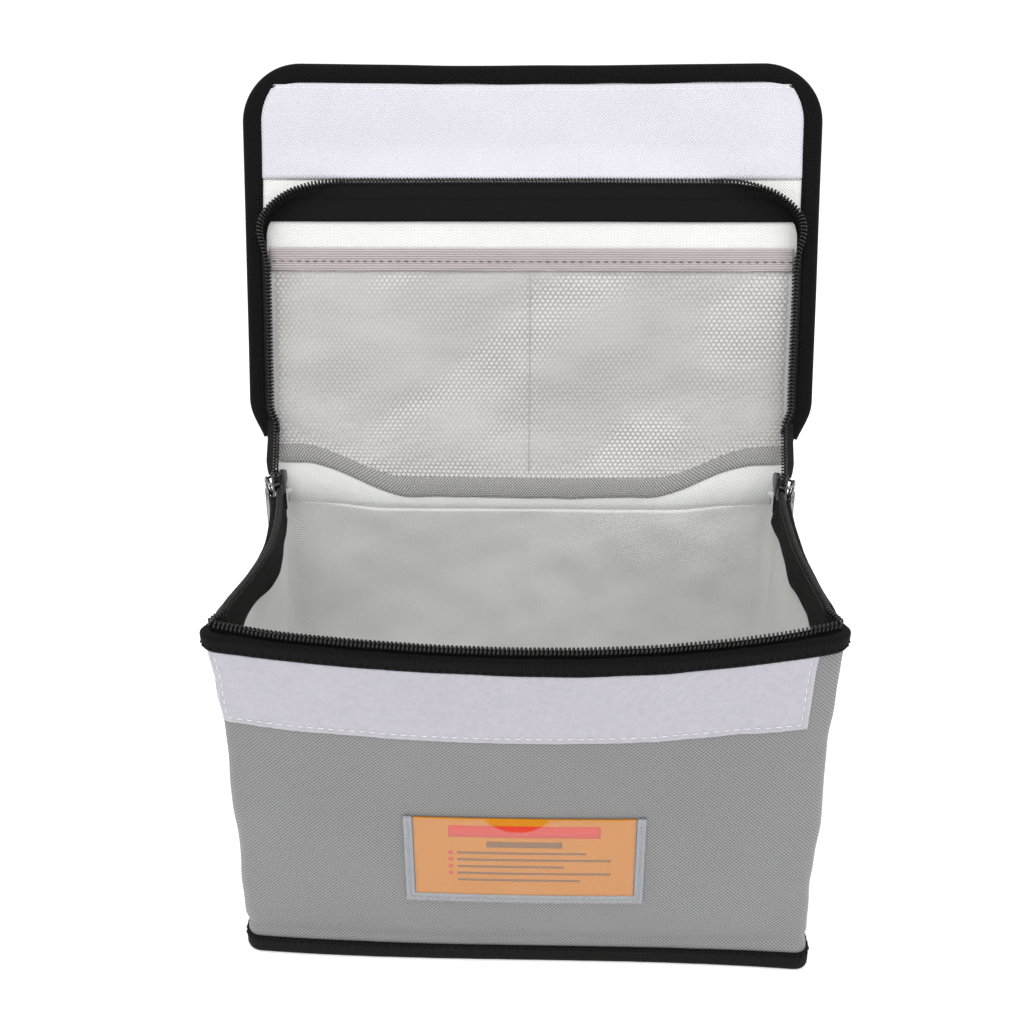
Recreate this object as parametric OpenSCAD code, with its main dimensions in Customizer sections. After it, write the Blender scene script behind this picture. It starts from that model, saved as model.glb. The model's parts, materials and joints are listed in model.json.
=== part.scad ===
// Fabric safe bag for lithium polymer packs: a soft box with a zipped, hinged
// cover, a mesh pocket inside the cover and a hook-and-loop flap at its front.
// Millimetres. +Z is up, -Y is the front, and the origin is the middle of the base.
// The cover is drawn shut, in cover_place(), and stands open in the rest pose.

/* [Body] */
// Outer width of the fabric box
shell_w = 212; // [180:1:260]
// Outer depth of the fabric box, front to back
shell_d = 117; // [100:1:150]
// Height of the top of the zipper coil above the base
rim_h = 153; // [130:1:180]
// Radius of the upright corners, measured on the outside
corner_r = 9; // [7:0.5:14]

/* [Fabric layers] */
// Thickness of the coated outer fabric
outer_t = 1.6; // [1.2:0.1:2.2]
// Thickness of the glass-fibre lining
lining_t = 1.2; // [0.8:0.1:1.6]
// Thickness of the ribbed edge binding
binding_t = 1; // [0.6:0.1:1.4]
// Height of the binding round the bottom edge
bottom_binding_h = 8; // [6:0.5:10]

/* [Zipper] */
// Thickness of the woven zipper tape
tape_t = 0.8; // [0.5:0.1:1]
// Width of one zipper tape, from its coil to its free edge
tape_w = 15; // [12:0.5:18]
// Thickness of one nylon coil across its tape
coil_t = 1.8; // [1.4:0.1:2.2]
// Height of one nylon coil along its tape
coil_h = 2.6; // [2:0.1:3]
// Gap between the two coils where the zipper is open and the cover is down
coil_gap = 2.2; // [2:0.1:3]
// Length of a slider
slider_l = 12; // [10:0.5:14]
// Length of a pull tab below its pivot
pull_l = 25; // [20:1:30]

/* [Cover] */
// Angle between the open cover at rest and the shut cover
open_angle = 108.5; // [95:0.5:120]
// Width of the cover over its side bindings
cover_w = 234; // [230:1:238]
// Visible width of the binding on the cover's edges
cover_binding_w = 7.5; // [6:0.5:9]
// Height of the cover's underside above the coil when shut
cover_rise = 8; // [8:0.5:10]
// Length of the front flap below its fold
flap_l = 41; // [36:1:46]
// Corner radius of the flap, on the outside
flap_corner_r = 24; // [16:1:30]

/* [Front face] */
// Width of the loop strip on the front
loop_w = 200; // [160:1:204]
// How far the loop strip's middle sits left of the bag's
loop_shift = 4; // [0:0.5:5]
// Visible height of the loop strip
loop_h = 30; // [25:1:38]
// Width of the label window
window_w = 86; // [70:1:100]
// Height of the label window
window_h = 39.4; // [30:0.2:48]
// Height of the window's lower edge above the base
window_z = 35; // [20:1:40]
// Width of the label card
card_w = 79; // [60:1:79]
// Height of the label card
card_h = 36; // [26:1:36]

/* [Mesh pocket] */
// Distance from the hinge line to the pocket's mouth
pocket_l = 88; // [70:1:92]
// Width of the elastic hem along the mouth
hem_w = 9.4; // [7:0.2:12]

/* [Handle] */
// Distance between the two sewn ends of the handle, outside to outside
handle_span = 130; // [110:5:150]
// Width of the handle webbing
handle_w = 25; // [20:1:30]
// Clear height under the handle
handle_gap = 19; // [18:1:24]

/* [Hidden] */

$fn = 48;
wall_t = outer_t + lining_t;
touch = 0.01;                              // cutters overshoot faces by this much
// The wall stops under the zipper, and the binding folds over its edge
wall_top = rim_h - 6;
binding_cap_t = 0.8;
rim_binding_low = rim_h - 10.6;
back_top = rim_h - 4.5;
hinge_y = shell_d / 2 + 0.5;
hinge_z = rim_h + 5;
cover_z = rim_h + cover_rise;              // underside of the shut cover
cover_start = 7.5;                         // from the hinge line to the cover's first edge
// The zipper runs on the inside of the lining
tape_inset = wall_t;
coil_inset = tape_inset + (tape_t - coil_t) / 2;
tape_x = shell_w / 2 - tape_inset - tape_t / 2;
zipper_start = 16;                         // from the hinge line to the cover's coil
flange_start = zipper_start + 8;           // from the hinge line to the tape's sewn-down part
// Hook and loop pile
loop_t = 1.2;
hook_t = 1.2;
pile_gap = 0.3;
loop_top = rim_binding_low - 0.4;
// The flap folds just in front of the two piles
fold_y = -(shell_d / 2 + loop_t + hook_t + pile_gap);
fold_clear = 1.2;                          // from the fold to the flap's first edge
fold_gap = wall_t + binding_t + 0.5;       // lets the flap's bound edge turn back past the cover
cover_front = fold_y + fold_gap;
flap_start = fold_y - fold_clear;
flap_end = fold_y - flap_l;
// Label window layers, outward from the front face
card_gap = 0.3;                            // clearance in front of and behind the card
card_t = 0.5;
card_lift = 0.1;                           // gap under the card
window_t = 0.5;
window_border_t = card_t + 2 * card_gap;
window_border_w = (window_w - card_w) / 2 - card_gap;
notch_w = 18;
notch_depth = 6;
// Cover fittings
pocket_half_w = tape_x - 3.4;
pocket_start = cover_start + 0.5;
mesh_t = 0.8;
mesh_gap = 0.6;
handle_t = 1.6;
handle_sewn = 18;
handle_ramp = 20;
handle_y = hinge_y - 62;
webbing_w = 8;
webbing_l = 192;
// Slider and pull
side_clear = 0.3;
plate_t = 0.9;
lip_h = 0.8;
channel_w = coil_t + 2 * side_clear;
slot_w = tape_t + 2 * side_clear;
lip_gap_low = 0.5;                         // from the body coil to the lower lips
lip_gap_high = 0.8;                        // from the cover coil to the upper lips
slider_low = rim_h - coil_h - lip_gap_low - lip_h;
slider_high = rim_h + coil_gap + coil_h + lip_gap_high + lip_h;
slider_y = hinge_y - 9.8;                  // slider's middle when parked at the hinge
post_h = coil_gap - 2 * side_clear;
post_l = 3;
pivot_z = rim_h + 1.2;
pivot_x = shell_w / 2 + binding_t + 0.9;
bar_r = 0.6;
bridge_l = 10;
bridge_post = 1.2;
bridge_h = 2.4;
eye_r = 1.9;
eye_hole_r = 0.9;
pull_w = 6;
pull_t = 1;
pull_play = 0.8;                           // end play of the eye between the bridge's posts
tab_hole_r = 1.5;
tab_hole_up = 5.5;                         // height of the tab's hole above its lower end

fabric = "#96969a";
lining_c = "#b9bbb4";
black = "#1b1818";
pile_c = "#e8e5ee";
metal = "#6b6c70";

// ---------- shared outlines ----------

// Plan of the fabric box, moved in by inset
module plan(inset) {
    w = shell_w - 2 * inset;
    d = shell_d - 2 * inset;
    r = corner_r - inset;
    square([w, d - 2 * r], center = true);
    square([w - 2 * r, d], center = true);
    for (x = [-1, 1], y = [-1, 1])
        translate([x * (w / 2 - r), y * (d / 2 - r)]) circle(r);
}

// Band between two insets of the plan
module plan_band(outside, inside) {
    difference() {
        plan(outside);
        plan(inside);
    }
}

// Half-plane in front of y = limit
module in_front_of(limit) {
    translate([-shell_w, -2 * shell_d]) square([2 * shell_w, 2 * shell_d + limit]);
}

// One upright wall layer: the front and back carry the rounded corners
module end_wall(outside, inside, sign, low, high) {
    translate([0, 0, low])
        linear_extrude(high - low)
            intersection() {
                plan_band(outside, inside);
                rotate(sign < 0 ? 0 : 180) in_front_of(-shell_d / 2 + corner_r);
            }
}

module side_wall(outside, thickness, sign, low, high) {
    length = shell_d - 2 * corner_r;
    x = shell_w / 2 - outside - thickness / 2;
    translate([sign * x, 0, (low + high) / 2])
        cube([thickness, length, high - low], center = true);
}

// U-shaped strip round the left side, front and right side
module rim_strip(outside, inside, back_y, low, high) {
    translate([0, 0, low])
        linear_extrude(high - low)
            intersection() {
                plan_band(outside, inside);
                in_front_of(back_y);
            }
}

// ---------- body ----------

module front_panel() color(fabric) end_wall(0, outer_t, -1, outer_t, wall_top);
module back_panel() color(fabric) end_wall(0, outer_t, 1, outer_t, back_top);
module left_panel() color(fabric) side_wall(0, outer_t, -1, outer_t, wall_top);
module right_panel() color(fabric) side_wall(0, outer_t, 1, outer_t, wall_top);
module bottom_panel() color(fabric) linear_extrude(outer_t) plan(0);

module front_lining() color(lining_c) end_wall(outer_t, wall_t, -1, wall_t, wall_top);
module back_lining() color(lining_c) end_wall(outer_t, wall_t, 1, wall_t, back_top);
module left_lining() color(lining_c) side_wall(outer_t, lining_t, -1, wall_t, wall_top);
module right_lining() color(lining_c) side_wall(outer_t, lining_t, 1, wall_t, wall_top);
module bottom_lining() color(lining_c) translate([0, 0, outer_t]) linear_extrude(lining_t) plan(outer_t);

module bottom_binding() color(black) linear_extrude(bottom_binding_h) plan_band(-binding_t, 0);

// Binding on the outside of the rim, folded over the top of the wall
module rim_binding() color(black) {
    back_y = slider_y + slider_l / 2;
    rim_strip(-binding_t, 0, back_y, rim_binding_low, wall_top);
    rim_strip(-binding_t, wall_t, shell_d / 2 - corner_r, wall_top, wall_top + binding_cap_t);
}

module body_zipper_tape() color(black)
    rim_strip(tape_inset, tape_inset + tape_t, shell_d / 2 - corner_r, rim_h - tape_w, rim_h - coil_h);

module body_zipper_coil() color(black)
    rim_strip(coil_inset, coil_inset + coil_t, shell_d / 2 - corner_r, rim_h - coil_h, rim_h);

module loop_strip() color(pile_c)
    translate([-loop_w / 2 - loop_shift, -shell_d / 2 - loop_t, loop_top - loop_h])
        cube([loop_w, loop_t, loop_h]);

// Stitched edge of the label pocket: two sides and the bottom
module window_border() color("#74808c")
    translate([0, -shell_d / 2, window_z])
        rotate([90, 0, 0])
            linear_extrude(window_border_t)
                difference() {
                    translate([-window_w / 2, 0]) square([window_w, window_h]);
                    translate([window_border_w - window_w / 2, window_border_w])
                        square([window_w - 2 * window_border_w, window_h]);
                }

// Clear sheet with a shallow thumb notch in its top edge
module label_window() color("#c8d0d8", 0.5)
    translate([0, -shell_d / 2 - window_border_t, window_z])
        rotate([90, 0, 0])
            linear_extrude(window_t)
                difference() {
                    translate([-window_w / 2, 0]) square([window_w, window_h]);
                    translate([0, window_h + notch_w - notch_depth]) circle(notch_w);
                }

module label_card() color("#e0a858")
    translate([-card_w / 2, -shell_d / 2 - card_gap - card_t, window_z + window_border_w + card_lift])
        cube([card_w, card_t, card_h]);

// Webbing over the seam where the back wall meets the cover
module hinge_webbing() color("#8c8c88")
    translate([-webbing_l / 2, shell_d / 2 - wall_t - binding_t, back_top - webbing_w])
        cube([webbing_l, binding_t, webbing_w]);

// ---------- cover ----------

// Turns the shut cover about the hinge line to its open rest angle
module cover_place() {
    translate([0, hinge_y, hinge_z])
        rotate([-open_angle, 0, 0])
            translate([0, -hinge_y, -hinge_z])
                children();
}

// Flat slab of the cover between two distances from the hinge line
module cover_slab(half_w, start, end_y, low, high) {
    translate([-half_w, end_y, cover_z + low])
        cube([2 * half_w, hinge_y - start - end_y, high - low]);
}

cover_half = cover_w / 2 - binding_t;
binding_start = 22;                        // the side bindings begin past the sliders

module cover_outer() color(fabric) cover_place() cover_slab(cover_half, cover_start, cover_front, lining_t, wall_t);
module cover_lining() color(lining_c) cover_place() cover_slab(cover_half, cover_start, cover_front, 0, lining_t);

// Channel of webbing folded round one side edge of the cover
module cover_binding(sign) {
    length = hinge_y - binding_start - cover_front;
    cover_place()
        translate([sign * (cover_w / 2 - cover_binding_w / 2), cover_front + length / 2, 0])
            difference() {
                translate([0, 0, cover_z + wall_t / 2])
                    cube([cover_binding_w, length, wall_t + 2 * binding_t], center = true);
                translate([-sign * binding_t, 0, cover_z + wall_t / 2])
                    cube([cover_binding_w, length + 2 * touch, wall_t], center = true);
            }
}
module cover_binding_left() color(black) cover_binding(-1);
module cover_binding_right() color(black) cover_binding(1);

// Flat tape sewn to the lining, with a leg that hangs down to the coil
module cover_zipper_tape() color(black) cover_place() {
    outer_edge = shell_w / 2 - (cover_w / 2 - cover_binding_w);
    leg_low = rim_h + coil_gap + coil_h;
    back_y = hinge_y - zipper_start;
    rim_strip(tape_inset, tape_inset + tape_t, back_y, leg_low, cover_z - tape_t);
    difference() {
        rim_strip(outer_edge, tape_inset + tape_t, hinge_y - flange_start, cover_z - tape_t, cover_z);
        translate([0, cover_front, cover_z])
            rotate([180, 0, 0])
                translate([-shell_w, 0, -touch])
                    cube([2 * shell_w, shell_d, tape_t + 2 * touch]);
    }
    front_inner = -(shell_d / 2 - tape_inset - tape_t);
    translate([-(tape_x - tape_inset), front_inner, cover_z - tape_t])
        cube([2 * (tape_x - tape_inset), tape_w - tape_t, tape_t]);
}

module cover_zipper_coil() color(black) cover_place()
    rim_strip(coil_inset, coil_inset + coil_t, hinge_y - zipper_start,
              rim_h + coil_gap, rim_h + coil_gap + coil_h);

// Open net that lies under the lining, with its mouth at the elastic hem
module pocket_mesh() color("#b4a8a6") cover_place()
    cover_slab(pocket_half_w, pocket_start, hinge_y - pocket_l + hem_w, -mesh_gap - mesh_t, -mesh_gap);

module pocket_hem() color("#beb2b6") cover_place()
    cover_slab(pocket_half_w, pocket_l - hem_w, hinge_y - pocket_l, -mesh_gap - 2 * mesh_t, -mesh_gap);

// Line of thread that ties the net to the lining and splits the pocket in two
module pocket_divider_stitch() color("#e6e2e0") cover_place()
    cover_slab(0.5, pocket_start, hinge_y - pocket_l + hem_w, -mesh_gap, 0);

// Arched webbing handle, sewn down at both ends
module handle_strap() color(black) cover_place() {
    steps = 8;
    arch_half = handle_span / 2 - handle_sewn;
    rise = [for (i = [0 : steps]) let (u = i / steps)
        [u * handle_ramp - arch_half, handle_gap * (1 - cos(180 * u)) / 2]];
    fall = [for (i = [steps : -1 : 0]) [-rise[i].x, rise[i].y]];
    lower = concat([[-handle_span / 2, 0]], rise, fall, [[handle_span / 2, 0]]);
    upper = [for (i = [len(lower) - 1 : -1 : 0]) lower[i] + [0, handle_t]];
    translate([0, handle_y + handle_w / 2, cover_z + wall_t])
        rotate([90, 0, 0])
            linear_extrude(handle_w)
                polygon(concat(lower, upper));
}

// ---------- flap ----------

// Plan of the flap, moved in by inset at the sides and the tip
module flap_plan(inset) {
    half = cover_w / 2 - inset;
    tip = flap_end + inset;
    r = flap_corner_r - inset;
    intersection() {
        in_front_of(flap_start);
        union() {
            translate([-half, tip + r]) square([2 * half, flap_start - tip]);
            translate([-half + r, tip]) square([2 * (half - r), flap_start - tip]);
            for (side = [-1, 1]) translate([side * (half - r), tip + r]) circle(r);
        }
    }
}

module flap_layer(inset, low, high) {
    translate([0, 0, cover_z + low]) linear_extrude(high - low) flap_plan(inset);
}

module flap_outer() color(fabric) cover_place() flap_layer(binding_t, lining_t, wall_t);
module flap_lining() color(lining_c) cover_place() flap_layer(binding_t, 0, lining_t);

module hook_strip() color(pile_c) cover_place()
    flap_layer(cover_binding_w + 0.2, -hook_t, 0);

// Binding folded round the flap's free edge
module flap_binding() color(black) cover_place()
    difference() {
        flap_layer(0, -binding_t, wall_t + binding_t);
        flap_layer(binding_t, 0, wall_t);
        translate([0, touch, 0]) flap_layer(cover_binding_w, -2 * binding_t, wall_t + 2 * binding_t);
    }

// ---------- sliders and pulls ----------

// Slider for the right side: two plates, turned-in lips, a divider post and a bridge
module slider() {
    inner = channel_w / 2;
    height = slider_high - slider_low;
    translate([tape_x, slider_y, 0]) {
        for (side = [-1, 1]) {
            translate([side * (inner + plate_t / 2), 0, slider_low + height / 2])
                cube([plate_t, slider_l, height], center = true);
            for (z = [slider_low, slider_high - lip_h])
                translate([side * (inner + slot_w / 2) / 2, 0, z + lip_h / 2])
                    cube([inner - slot_w / 2 + touch, slider_l, lip_h], center = true);
        }
        translate([0, -(slider_l - post_l) / 2, rim_h + coil_gap / 2])
            cube([channel_w + touch, post_l, post_h], center = true);
    }
    bridge_x = tape_x + inner + plate_t;
    for (end = [-1, 1])
        translate([bridge_x - touch, slider_y + end * (bridge_l - bridge_post) / 2 - bridge_post / 2, pivot_z - bridge_h / 2])
            cube([pivot_x + bar_r - bridge_x, bridge_post, bridge_h]);
    translate([pivot_x, slider_y + bridge_l / 2 - bridge_post / 2, pivot_z])
        rotate([90, 0, 0]) cylinder(r = bar_r, h = bridge_l - bridge_post);
}
module slider_right() color(metal) slider();
module slider_left() color(metal) mirror([1, 0, 0]) slider();

// Pull tab for the right side: an eye round the bridge's bar, and a flat tab
module pull() {
    eye_w = bridge_l - 2 * bridge_post - pull_play;
    translate([pivot_x, slider_y, pivot_z])
        difference() {
            union() {
                rotate([90, 0, 0]) cylinder(r = eye_r, h = eye_w, center = true);
                translate([-pull_t / 2, -pull_w / 2, -pull_l]) cube([pull_t, pull_w, pull_l - eye_hole_r - side_clear]);
            }
            rotate([90, 0, 0]) cylinder(r = eye_hole_r, h = eye_w + 2 * touch, center = true);
            translate([0, 0, tab_hole_up - pull_l])
                rotate([0, 90, 0]) cylinder(r = tab_hole_r, h = 2 * pull_t, center = true);
        }
}
module pull_right() color(metal) pull();
module pull_left() color(metal) mirror([1, 0, 0]) pull();

front_panel();
back_panel();
left_panel();
right_panel();
bottom_panel();
front_lining();
back_lining();
left_lining();
right_lining();
bottom_lining();
bottom_binding();
rim_binding();
body_zipper_tape();
body_zipper_coil();
loop_strip();
window_border();
label_window();
hinge_webbing();
label_card();
cover_outer();
cover_lining();
cover_binding_left();
cover_binding_right();
cover_zipper_tape();
cover_zipper_coil();
pocket_mesh();
pocket_hem();
pocket_divider_stitch();
handle_strap();
flap_outer();
flap_lining();
hook_strip();
flap_binding();
slider_left();
slider_right();
pull_left();
pull_right();
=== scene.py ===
"""The looks of a fabric safe bag for lithium polymer packs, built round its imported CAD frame.

Metres, +Z up, -Y the front. Pieces of the box are laid out on its flat walls and then
moved by sag(), which gives the cloth its bows and ripples, so that layers stay in order.
Pieces of the cover are laid out by (x, s, i): across, away from the hinge, and inward.
"""

import json
import math

import bpy
import numpy as np
from mathutils import Matrix, Vector


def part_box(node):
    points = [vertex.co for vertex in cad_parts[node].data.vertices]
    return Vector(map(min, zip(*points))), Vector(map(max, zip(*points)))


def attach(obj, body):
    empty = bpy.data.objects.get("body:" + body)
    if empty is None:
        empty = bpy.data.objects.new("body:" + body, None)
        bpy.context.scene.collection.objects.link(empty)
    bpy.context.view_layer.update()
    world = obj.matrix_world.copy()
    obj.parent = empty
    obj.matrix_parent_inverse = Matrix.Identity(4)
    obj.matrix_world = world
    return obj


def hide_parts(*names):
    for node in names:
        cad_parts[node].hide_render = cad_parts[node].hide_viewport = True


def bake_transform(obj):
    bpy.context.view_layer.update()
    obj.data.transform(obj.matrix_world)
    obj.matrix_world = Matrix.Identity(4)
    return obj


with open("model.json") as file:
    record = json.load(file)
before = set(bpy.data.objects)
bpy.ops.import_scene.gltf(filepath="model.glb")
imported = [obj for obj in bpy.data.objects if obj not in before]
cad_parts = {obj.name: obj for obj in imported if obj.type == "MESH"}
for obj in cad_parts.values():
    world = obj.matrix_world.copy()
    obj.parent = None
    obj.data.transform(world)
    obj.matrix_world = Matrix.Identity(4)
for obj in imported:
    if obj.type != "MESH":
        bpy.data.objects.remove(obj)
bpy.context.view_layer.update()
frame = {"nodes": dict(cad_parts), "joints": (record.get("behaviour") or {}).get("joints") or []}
MM = 0.001

# ---------- sizes, read from the frame ----------

JOINTS = {joint["name"]: joint for joint in frame["joints"]}
HINGE = np.array(JOINTS["cover_hinge"]["pos_m"])
LEAN = math.radians(JOINTS["cover_hinge"]["range_deg"][1] - 90)
S_AXIS = np.array([0, math.sin(LEAN), math.cos(LEAN)])     # up the open cover
N_AXIS = np.array([0, math.cos(LEAN), -math.sin(LEAN)])    # out of the cover's back

HALF_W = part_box("bottom_panel")[1].x
HALF_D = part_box("bottom_panel")[1].y
CORNER_R = 0.55 * (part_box("front_panel")[1].y + HALF_D)      # the cloth is creased tighter than the frame
OUTER_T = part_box("bottom_panel")[1].z
WALL_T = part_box("bottom_lining")[1].z
LINING_T = WALL_T - OUTER_T
LINING_CORNER_R = 3.4 * MM
RIM_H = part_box("body_zipper_coil")[1].z
WALL_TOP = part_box("front_panel")[1].z
BACK_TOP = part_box("back_panel")[1].z
BINDING_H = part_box("bottom_binding")[1].z
RIM_BINDING_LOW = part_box("rim_binding")[0].z
TAPE_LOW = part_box("body_zipper_tape")[0].z
TAPE_W = RIM_H - TAPE_LOW
SLIDER_Y = (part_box("slider_right")[0].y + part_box("slider_right")[1].y) / 2
SLIDER_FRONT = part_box("slider_right")[0].y
COIL_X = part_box("body_zipper_coil")[1].x - 0.9 * MM
PIVOT = np.array(JOINTS["pull_right_swing"]["pos_m"])


def cover_extent(node):
    """Lowest and highest (x, s, n) of a CAD node in the open cover's own directions."""
    points = np.array([v.co for v in frame["nodes"][node].data.vertices]) - HINGE
    local = np.stack([points[:, 0], points @ S_AXIS, points @ N_AXIS], axis=1)
    return local.min(0), local.max(0)


LINING_FACE = cover_extent("cover_lining")[0][2]
COVER_START = cover_extent("cover_outer")[0][1]
COVER_HALF_W = cover_extent("cover_binding_right")[1][0]
FLAP_TIP = cover_extent("flap_binding")[1][1]
FOLD_S = float((np.array(JOINTS["flap_fold"]["pos_m"]) - HINGE) @ S_AXIS)
HEM_LOW, HEM_HIGH = cover_extent("pocket_hem")[0][1], cover_extent("pocket_hem")[1][1]
POCKET_HALF_W = cover_extent("pocket_mesh")[1][0]
COVER_COIL_S = 114.2 * MM          # where the coil lies along the front of the cover
EDGE_W = 7.5 * MM                  # visible width of the cover's binding
BINDING_T = 1 * MM
FLAP_R = 24 * MM

# ---------- numbers and curves ----------


def smooth(value):
    """Smooth step from 0 to 1."""
    value = np.clip(value, 0, 1)
    return value * value * (3 - 2 * value)


def between(value, low, high):
    """Smooth step as value goes from low to high."""
    return smooth((value - low) / (high - low))


def ripple(points, wavelength, seed, waves=14):
    """Soft noise from -1 to 1: waves of about one length in seeded directions."""
    rng = np.random.default_rng(seed)
    total = np.zeros(len(points))
    for _ in range(waves):
        direction = rng.normal(size=3)
        direction /= np.linalg.norm(direction)
        number = 2 * math.pi / (wavelength * rng.uniform(0.7, 1.5))
        total += np.sin(points @ direction * number + rng.uniform(0, 2 * math.pi))
    return total / math.sqrt(waves) / 1.5


def ripple_on(x, y, wavelength, seed):
    """Ripple over a flat patch, in the shape that x and y make together."""
    x, y = np.broadcast_arrays(np.asarray(x, float), np.asarray(y, float))
    points = np.stack([x, y, 0 * x], axis=-1).reshape(-1, 3)
    return ripple(points, wavelength, seed).reshape(x.shape)


def distances(points):
    """Distance along a polyline at each of its points."""
    return np.concatenate([[0], np.cumsum(np.linalg.norm(np.diff(points, axis=0), axis=1))])


def values_at(wanted, along, values):
    """Vectors known at distances along a line, read off at the wanted distances."""
    return np.stack([np.interp(wanted, along, column) for column in values.T], axis=1)


def resample(points, step):
    """Points spaced evenly along a polyline, and their distances along it."""
    along = distances(points)
    count = max(2, int(round(along[-1] / step)) + 1)
    wanted = np.linspace(0, along[-1], count)
    return values_at(wanted, along, points), wanted


def unit(vectors):
    """Vectors scaled to length 1."""
    return vectors / np.maximum(np.linalg.norm(vectors, axis=-1, keepdims=True), 1e-12)


def bezier(points, count):
    """Points on a Bezier curve of any degree. Each control point may itself be an array of points."""
    points = np.array(points, float)
    t = np.linspace(0, 1, count).reshape((-1,) + (1,) * (points.ndim - 1))
    degree = len(points) - 1
    shares = [math.comb(degree, k) * t ** k * (1 - t) ** (degree - k) for k in range(degree + 1)]
    return sum(share * point for share, point in zip(shares, points))


# ---------- the box's outline and its bows ----------

FRONT_HALF = HALF_W - CORNER_R
CORNER_RUN = math.pi / 2 * CORNER_R
SIDE_RUN = 2 * (HALF_D - CORNER_R)
HALF_LOOP = 2 * FRONT_HALF + 2 * CORNER_RUN + SIDE_RUN
FRONT_CORNER_T = FRONT_HALF + CORNER_RUN
BACK_CORNER_T = FRONT_CORNER_T + SIDE_RUN


def plan(t, inset=0.0, radius=None):
    """Point (x, y) at distance t round the box from its front middle.

    t is positive to the right. inset moves the point inward, and radius is the corner
    radius there, which is the outer one less the inset unless it is given.
    """
    t = np.asarray(t, float)
    inset = np.broadcast_to(np.asarray(inset, float), t.shape)
    side = np.where(t < 0, -1.0, 1.0)
    run = np.abs(t)
    corner = CORNER_R - inset if radius is None else np.full(t.shape, radius)
    half_w, half_d = HALF_W - inset, HALF_D - inset
    front = np.clip(run / FRONT_HALF, 0, 1)
    turn_1 = np.clip((run - FRONT_HALF) / CORNER_RUN, 0, 1) * math.pi / 2
    along = np.clip((run - FRONT_CORNER_T) / SIDE_RUN, 0, 1)
    turn_2 = np.clip((run - BACK_CORNER_T) / CORNER_RUN, 0, 1) * math.pi / 2
    back = np.clip((run - BACK_CORNER_T - CORNER_RUN) / FRONT_HALF, 0, 1)
    turn = turn_1 + turn_2
    x = side * front * (half_w - corner) * (1 - back) + corner * side * np.sin(turn)
    y = (half_d - corner) * (2 * along - 1) - corner * np.cos(turn)
    return np.stack([x, y], axis=-1)


def wall_point(t, z, inset=0.0, radius=None):
    """Point on the box's flat wall, at distance t round it, height z and depth inset."""
    point = plan(t, inset, radius)
    z = np.broadcast_to(np.asarray(z, float), point.shape[:-1])
    return np.concatenate([point, z[..., None]], axis=-1)


FOOT_SPREAD = 0.022        # share by which the box is wider at its foot
CORNER_SPREAD = 0.036      # share by which the rim's front corners stand out
FRONT_BOW = 5 * MM         # how far the middle of the front bows out
FRONT_DROP = 5.6 * MM      # how far the middle of its rim hangs below the corners
FRONT_SLACK = 4 * MM       # how far the cloth below the rim hangs further
TWIST_FOOT = 3 * MM        # how far the front's ends are turned at the foot
TWIST_RISE = 5 * MM        # how much of that turn is undone up to the rim
SIDE_PINCH = 5.5 * MM      # how far the left rim is pulled in halfway along
RIGHT_SHARE = 0.35         # share of that pull on the right rim
SIDE_DROP = 2 * MM         # how far both side rims hang halfway along
BACK_BOW = 5 * MM          # how far the hinge seam leans into the bag at its middle
BACK_DROP = 3 * MM         # how far it hangs there
FOOT_FOLD_Z = 13.5 * MM    # height of the fold along the foot of each wall
FOOT_FOLD = 0.9 * MM       # and its depth


def sag(points):
    """Moves points of the flat-walled box to where the hanging cloth is."""
    shape = points.shape
    p = points.reshape(-1, 3).copy()
    x, y, z = p.T
    u, v, h = x / HALF_W, y / HALF_D, np.clip(z / RIM_H, 0, 1.05)
    front, side, back = between(-v, 0, 1), between(np.abs(u), 0.2, 1), between(v, 0.2, 1)
    moved = p.copy()
    at_foot, at_corner = (1 - h) * (0.35 + 0.65 * front), between(-v, 0.78, 1) * h ** 3
    moved[:, 0] *= 1 + FOOT_SPREAD * at_foot + CORNER_SPREAD * at_corner
    # The front bows out alike from below the card to above it, so that the card slides freely
    across = np.clip(1 - u * u, 0, 1)
    slack = across * between(h, 0.45, 0.75) * (1 - 0.4 * between(h, 0.94, 1))
    moved[:, 1] -= FRONT_BOW * across ** 0.8 * between(h, 0, 0.22) * front
    moved[:, 2] -= (FRONT_DROP * across * h ** 6 + FRONT_SLACK * slack) * front
    moved[:, 1] -= u ** 3 * (TWIST_FOOT - TWIST_RISE * h) * front
    # The sides are pulled in and hang, and so does the back
    reach = np.clip(1 - ((v - 0.05) / 0.79) ** 2, 0, 1) ** 1.2
    pinch = SIDE_PINCH * np.where(x > 0, RIGHT_SHARE, 1)
    moved[:, 0] -= np.sign(x) * pinch * reach * between(h, 0.25, 1) * side
    moved[:, 2] -= SIDE_DROP * reach * between(h, 0.7, 1) * side
    middle = between(1 - np.abs(u), 0.1, 0.45)
    moved[:, 1] -= BACK_BOW * middle * between(h, 0.45, 1) * back
    moved[:, 2] -= BACK_DROP * middle * between(h, 0.85, 1) * back
    # Broad soft dents, quiet at the rim, at the foot and behind the card
    dent = 1.4 * MM * ripple(p, 62 * MM, 3) + 0.4 * MM * ripple(p, 21 * MM, 4)
    dent *= (1 - 0.75 * between(h, 0.86, 0.97)) * between(h, 0.02, 0.16)
    dent *= 1 - 0.95 * front * between(0.55 - np.abs(u), 0, 0.15) * between(0.86 - h, 0, 0.1)
    fold = FOOT_FOLD * np.exp(-((z - FOOT_FOLD_Z) / (2.2 * MM)) ** 2)
    outward = unit(np.stack([side * u * np.abs(u) ** 9, (front + back) * v * np.abs(v) ** 9, 0 * u], axis=1))
    near_wall = np.maximum(np.abs(u), np.abs(v)) > 0.8
    # The side rims stay smooth where the sliders are parked
    smooth_rim = 1 - np.exp(-(((v - 0.84) / 0.2) ** 2)) * between(h, 0.8, 0.95) * side
    moved += outward * ((dent - fold) * near_wall * smooth_rim)[:, None]
    return moved.reshape(shape)


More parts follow.
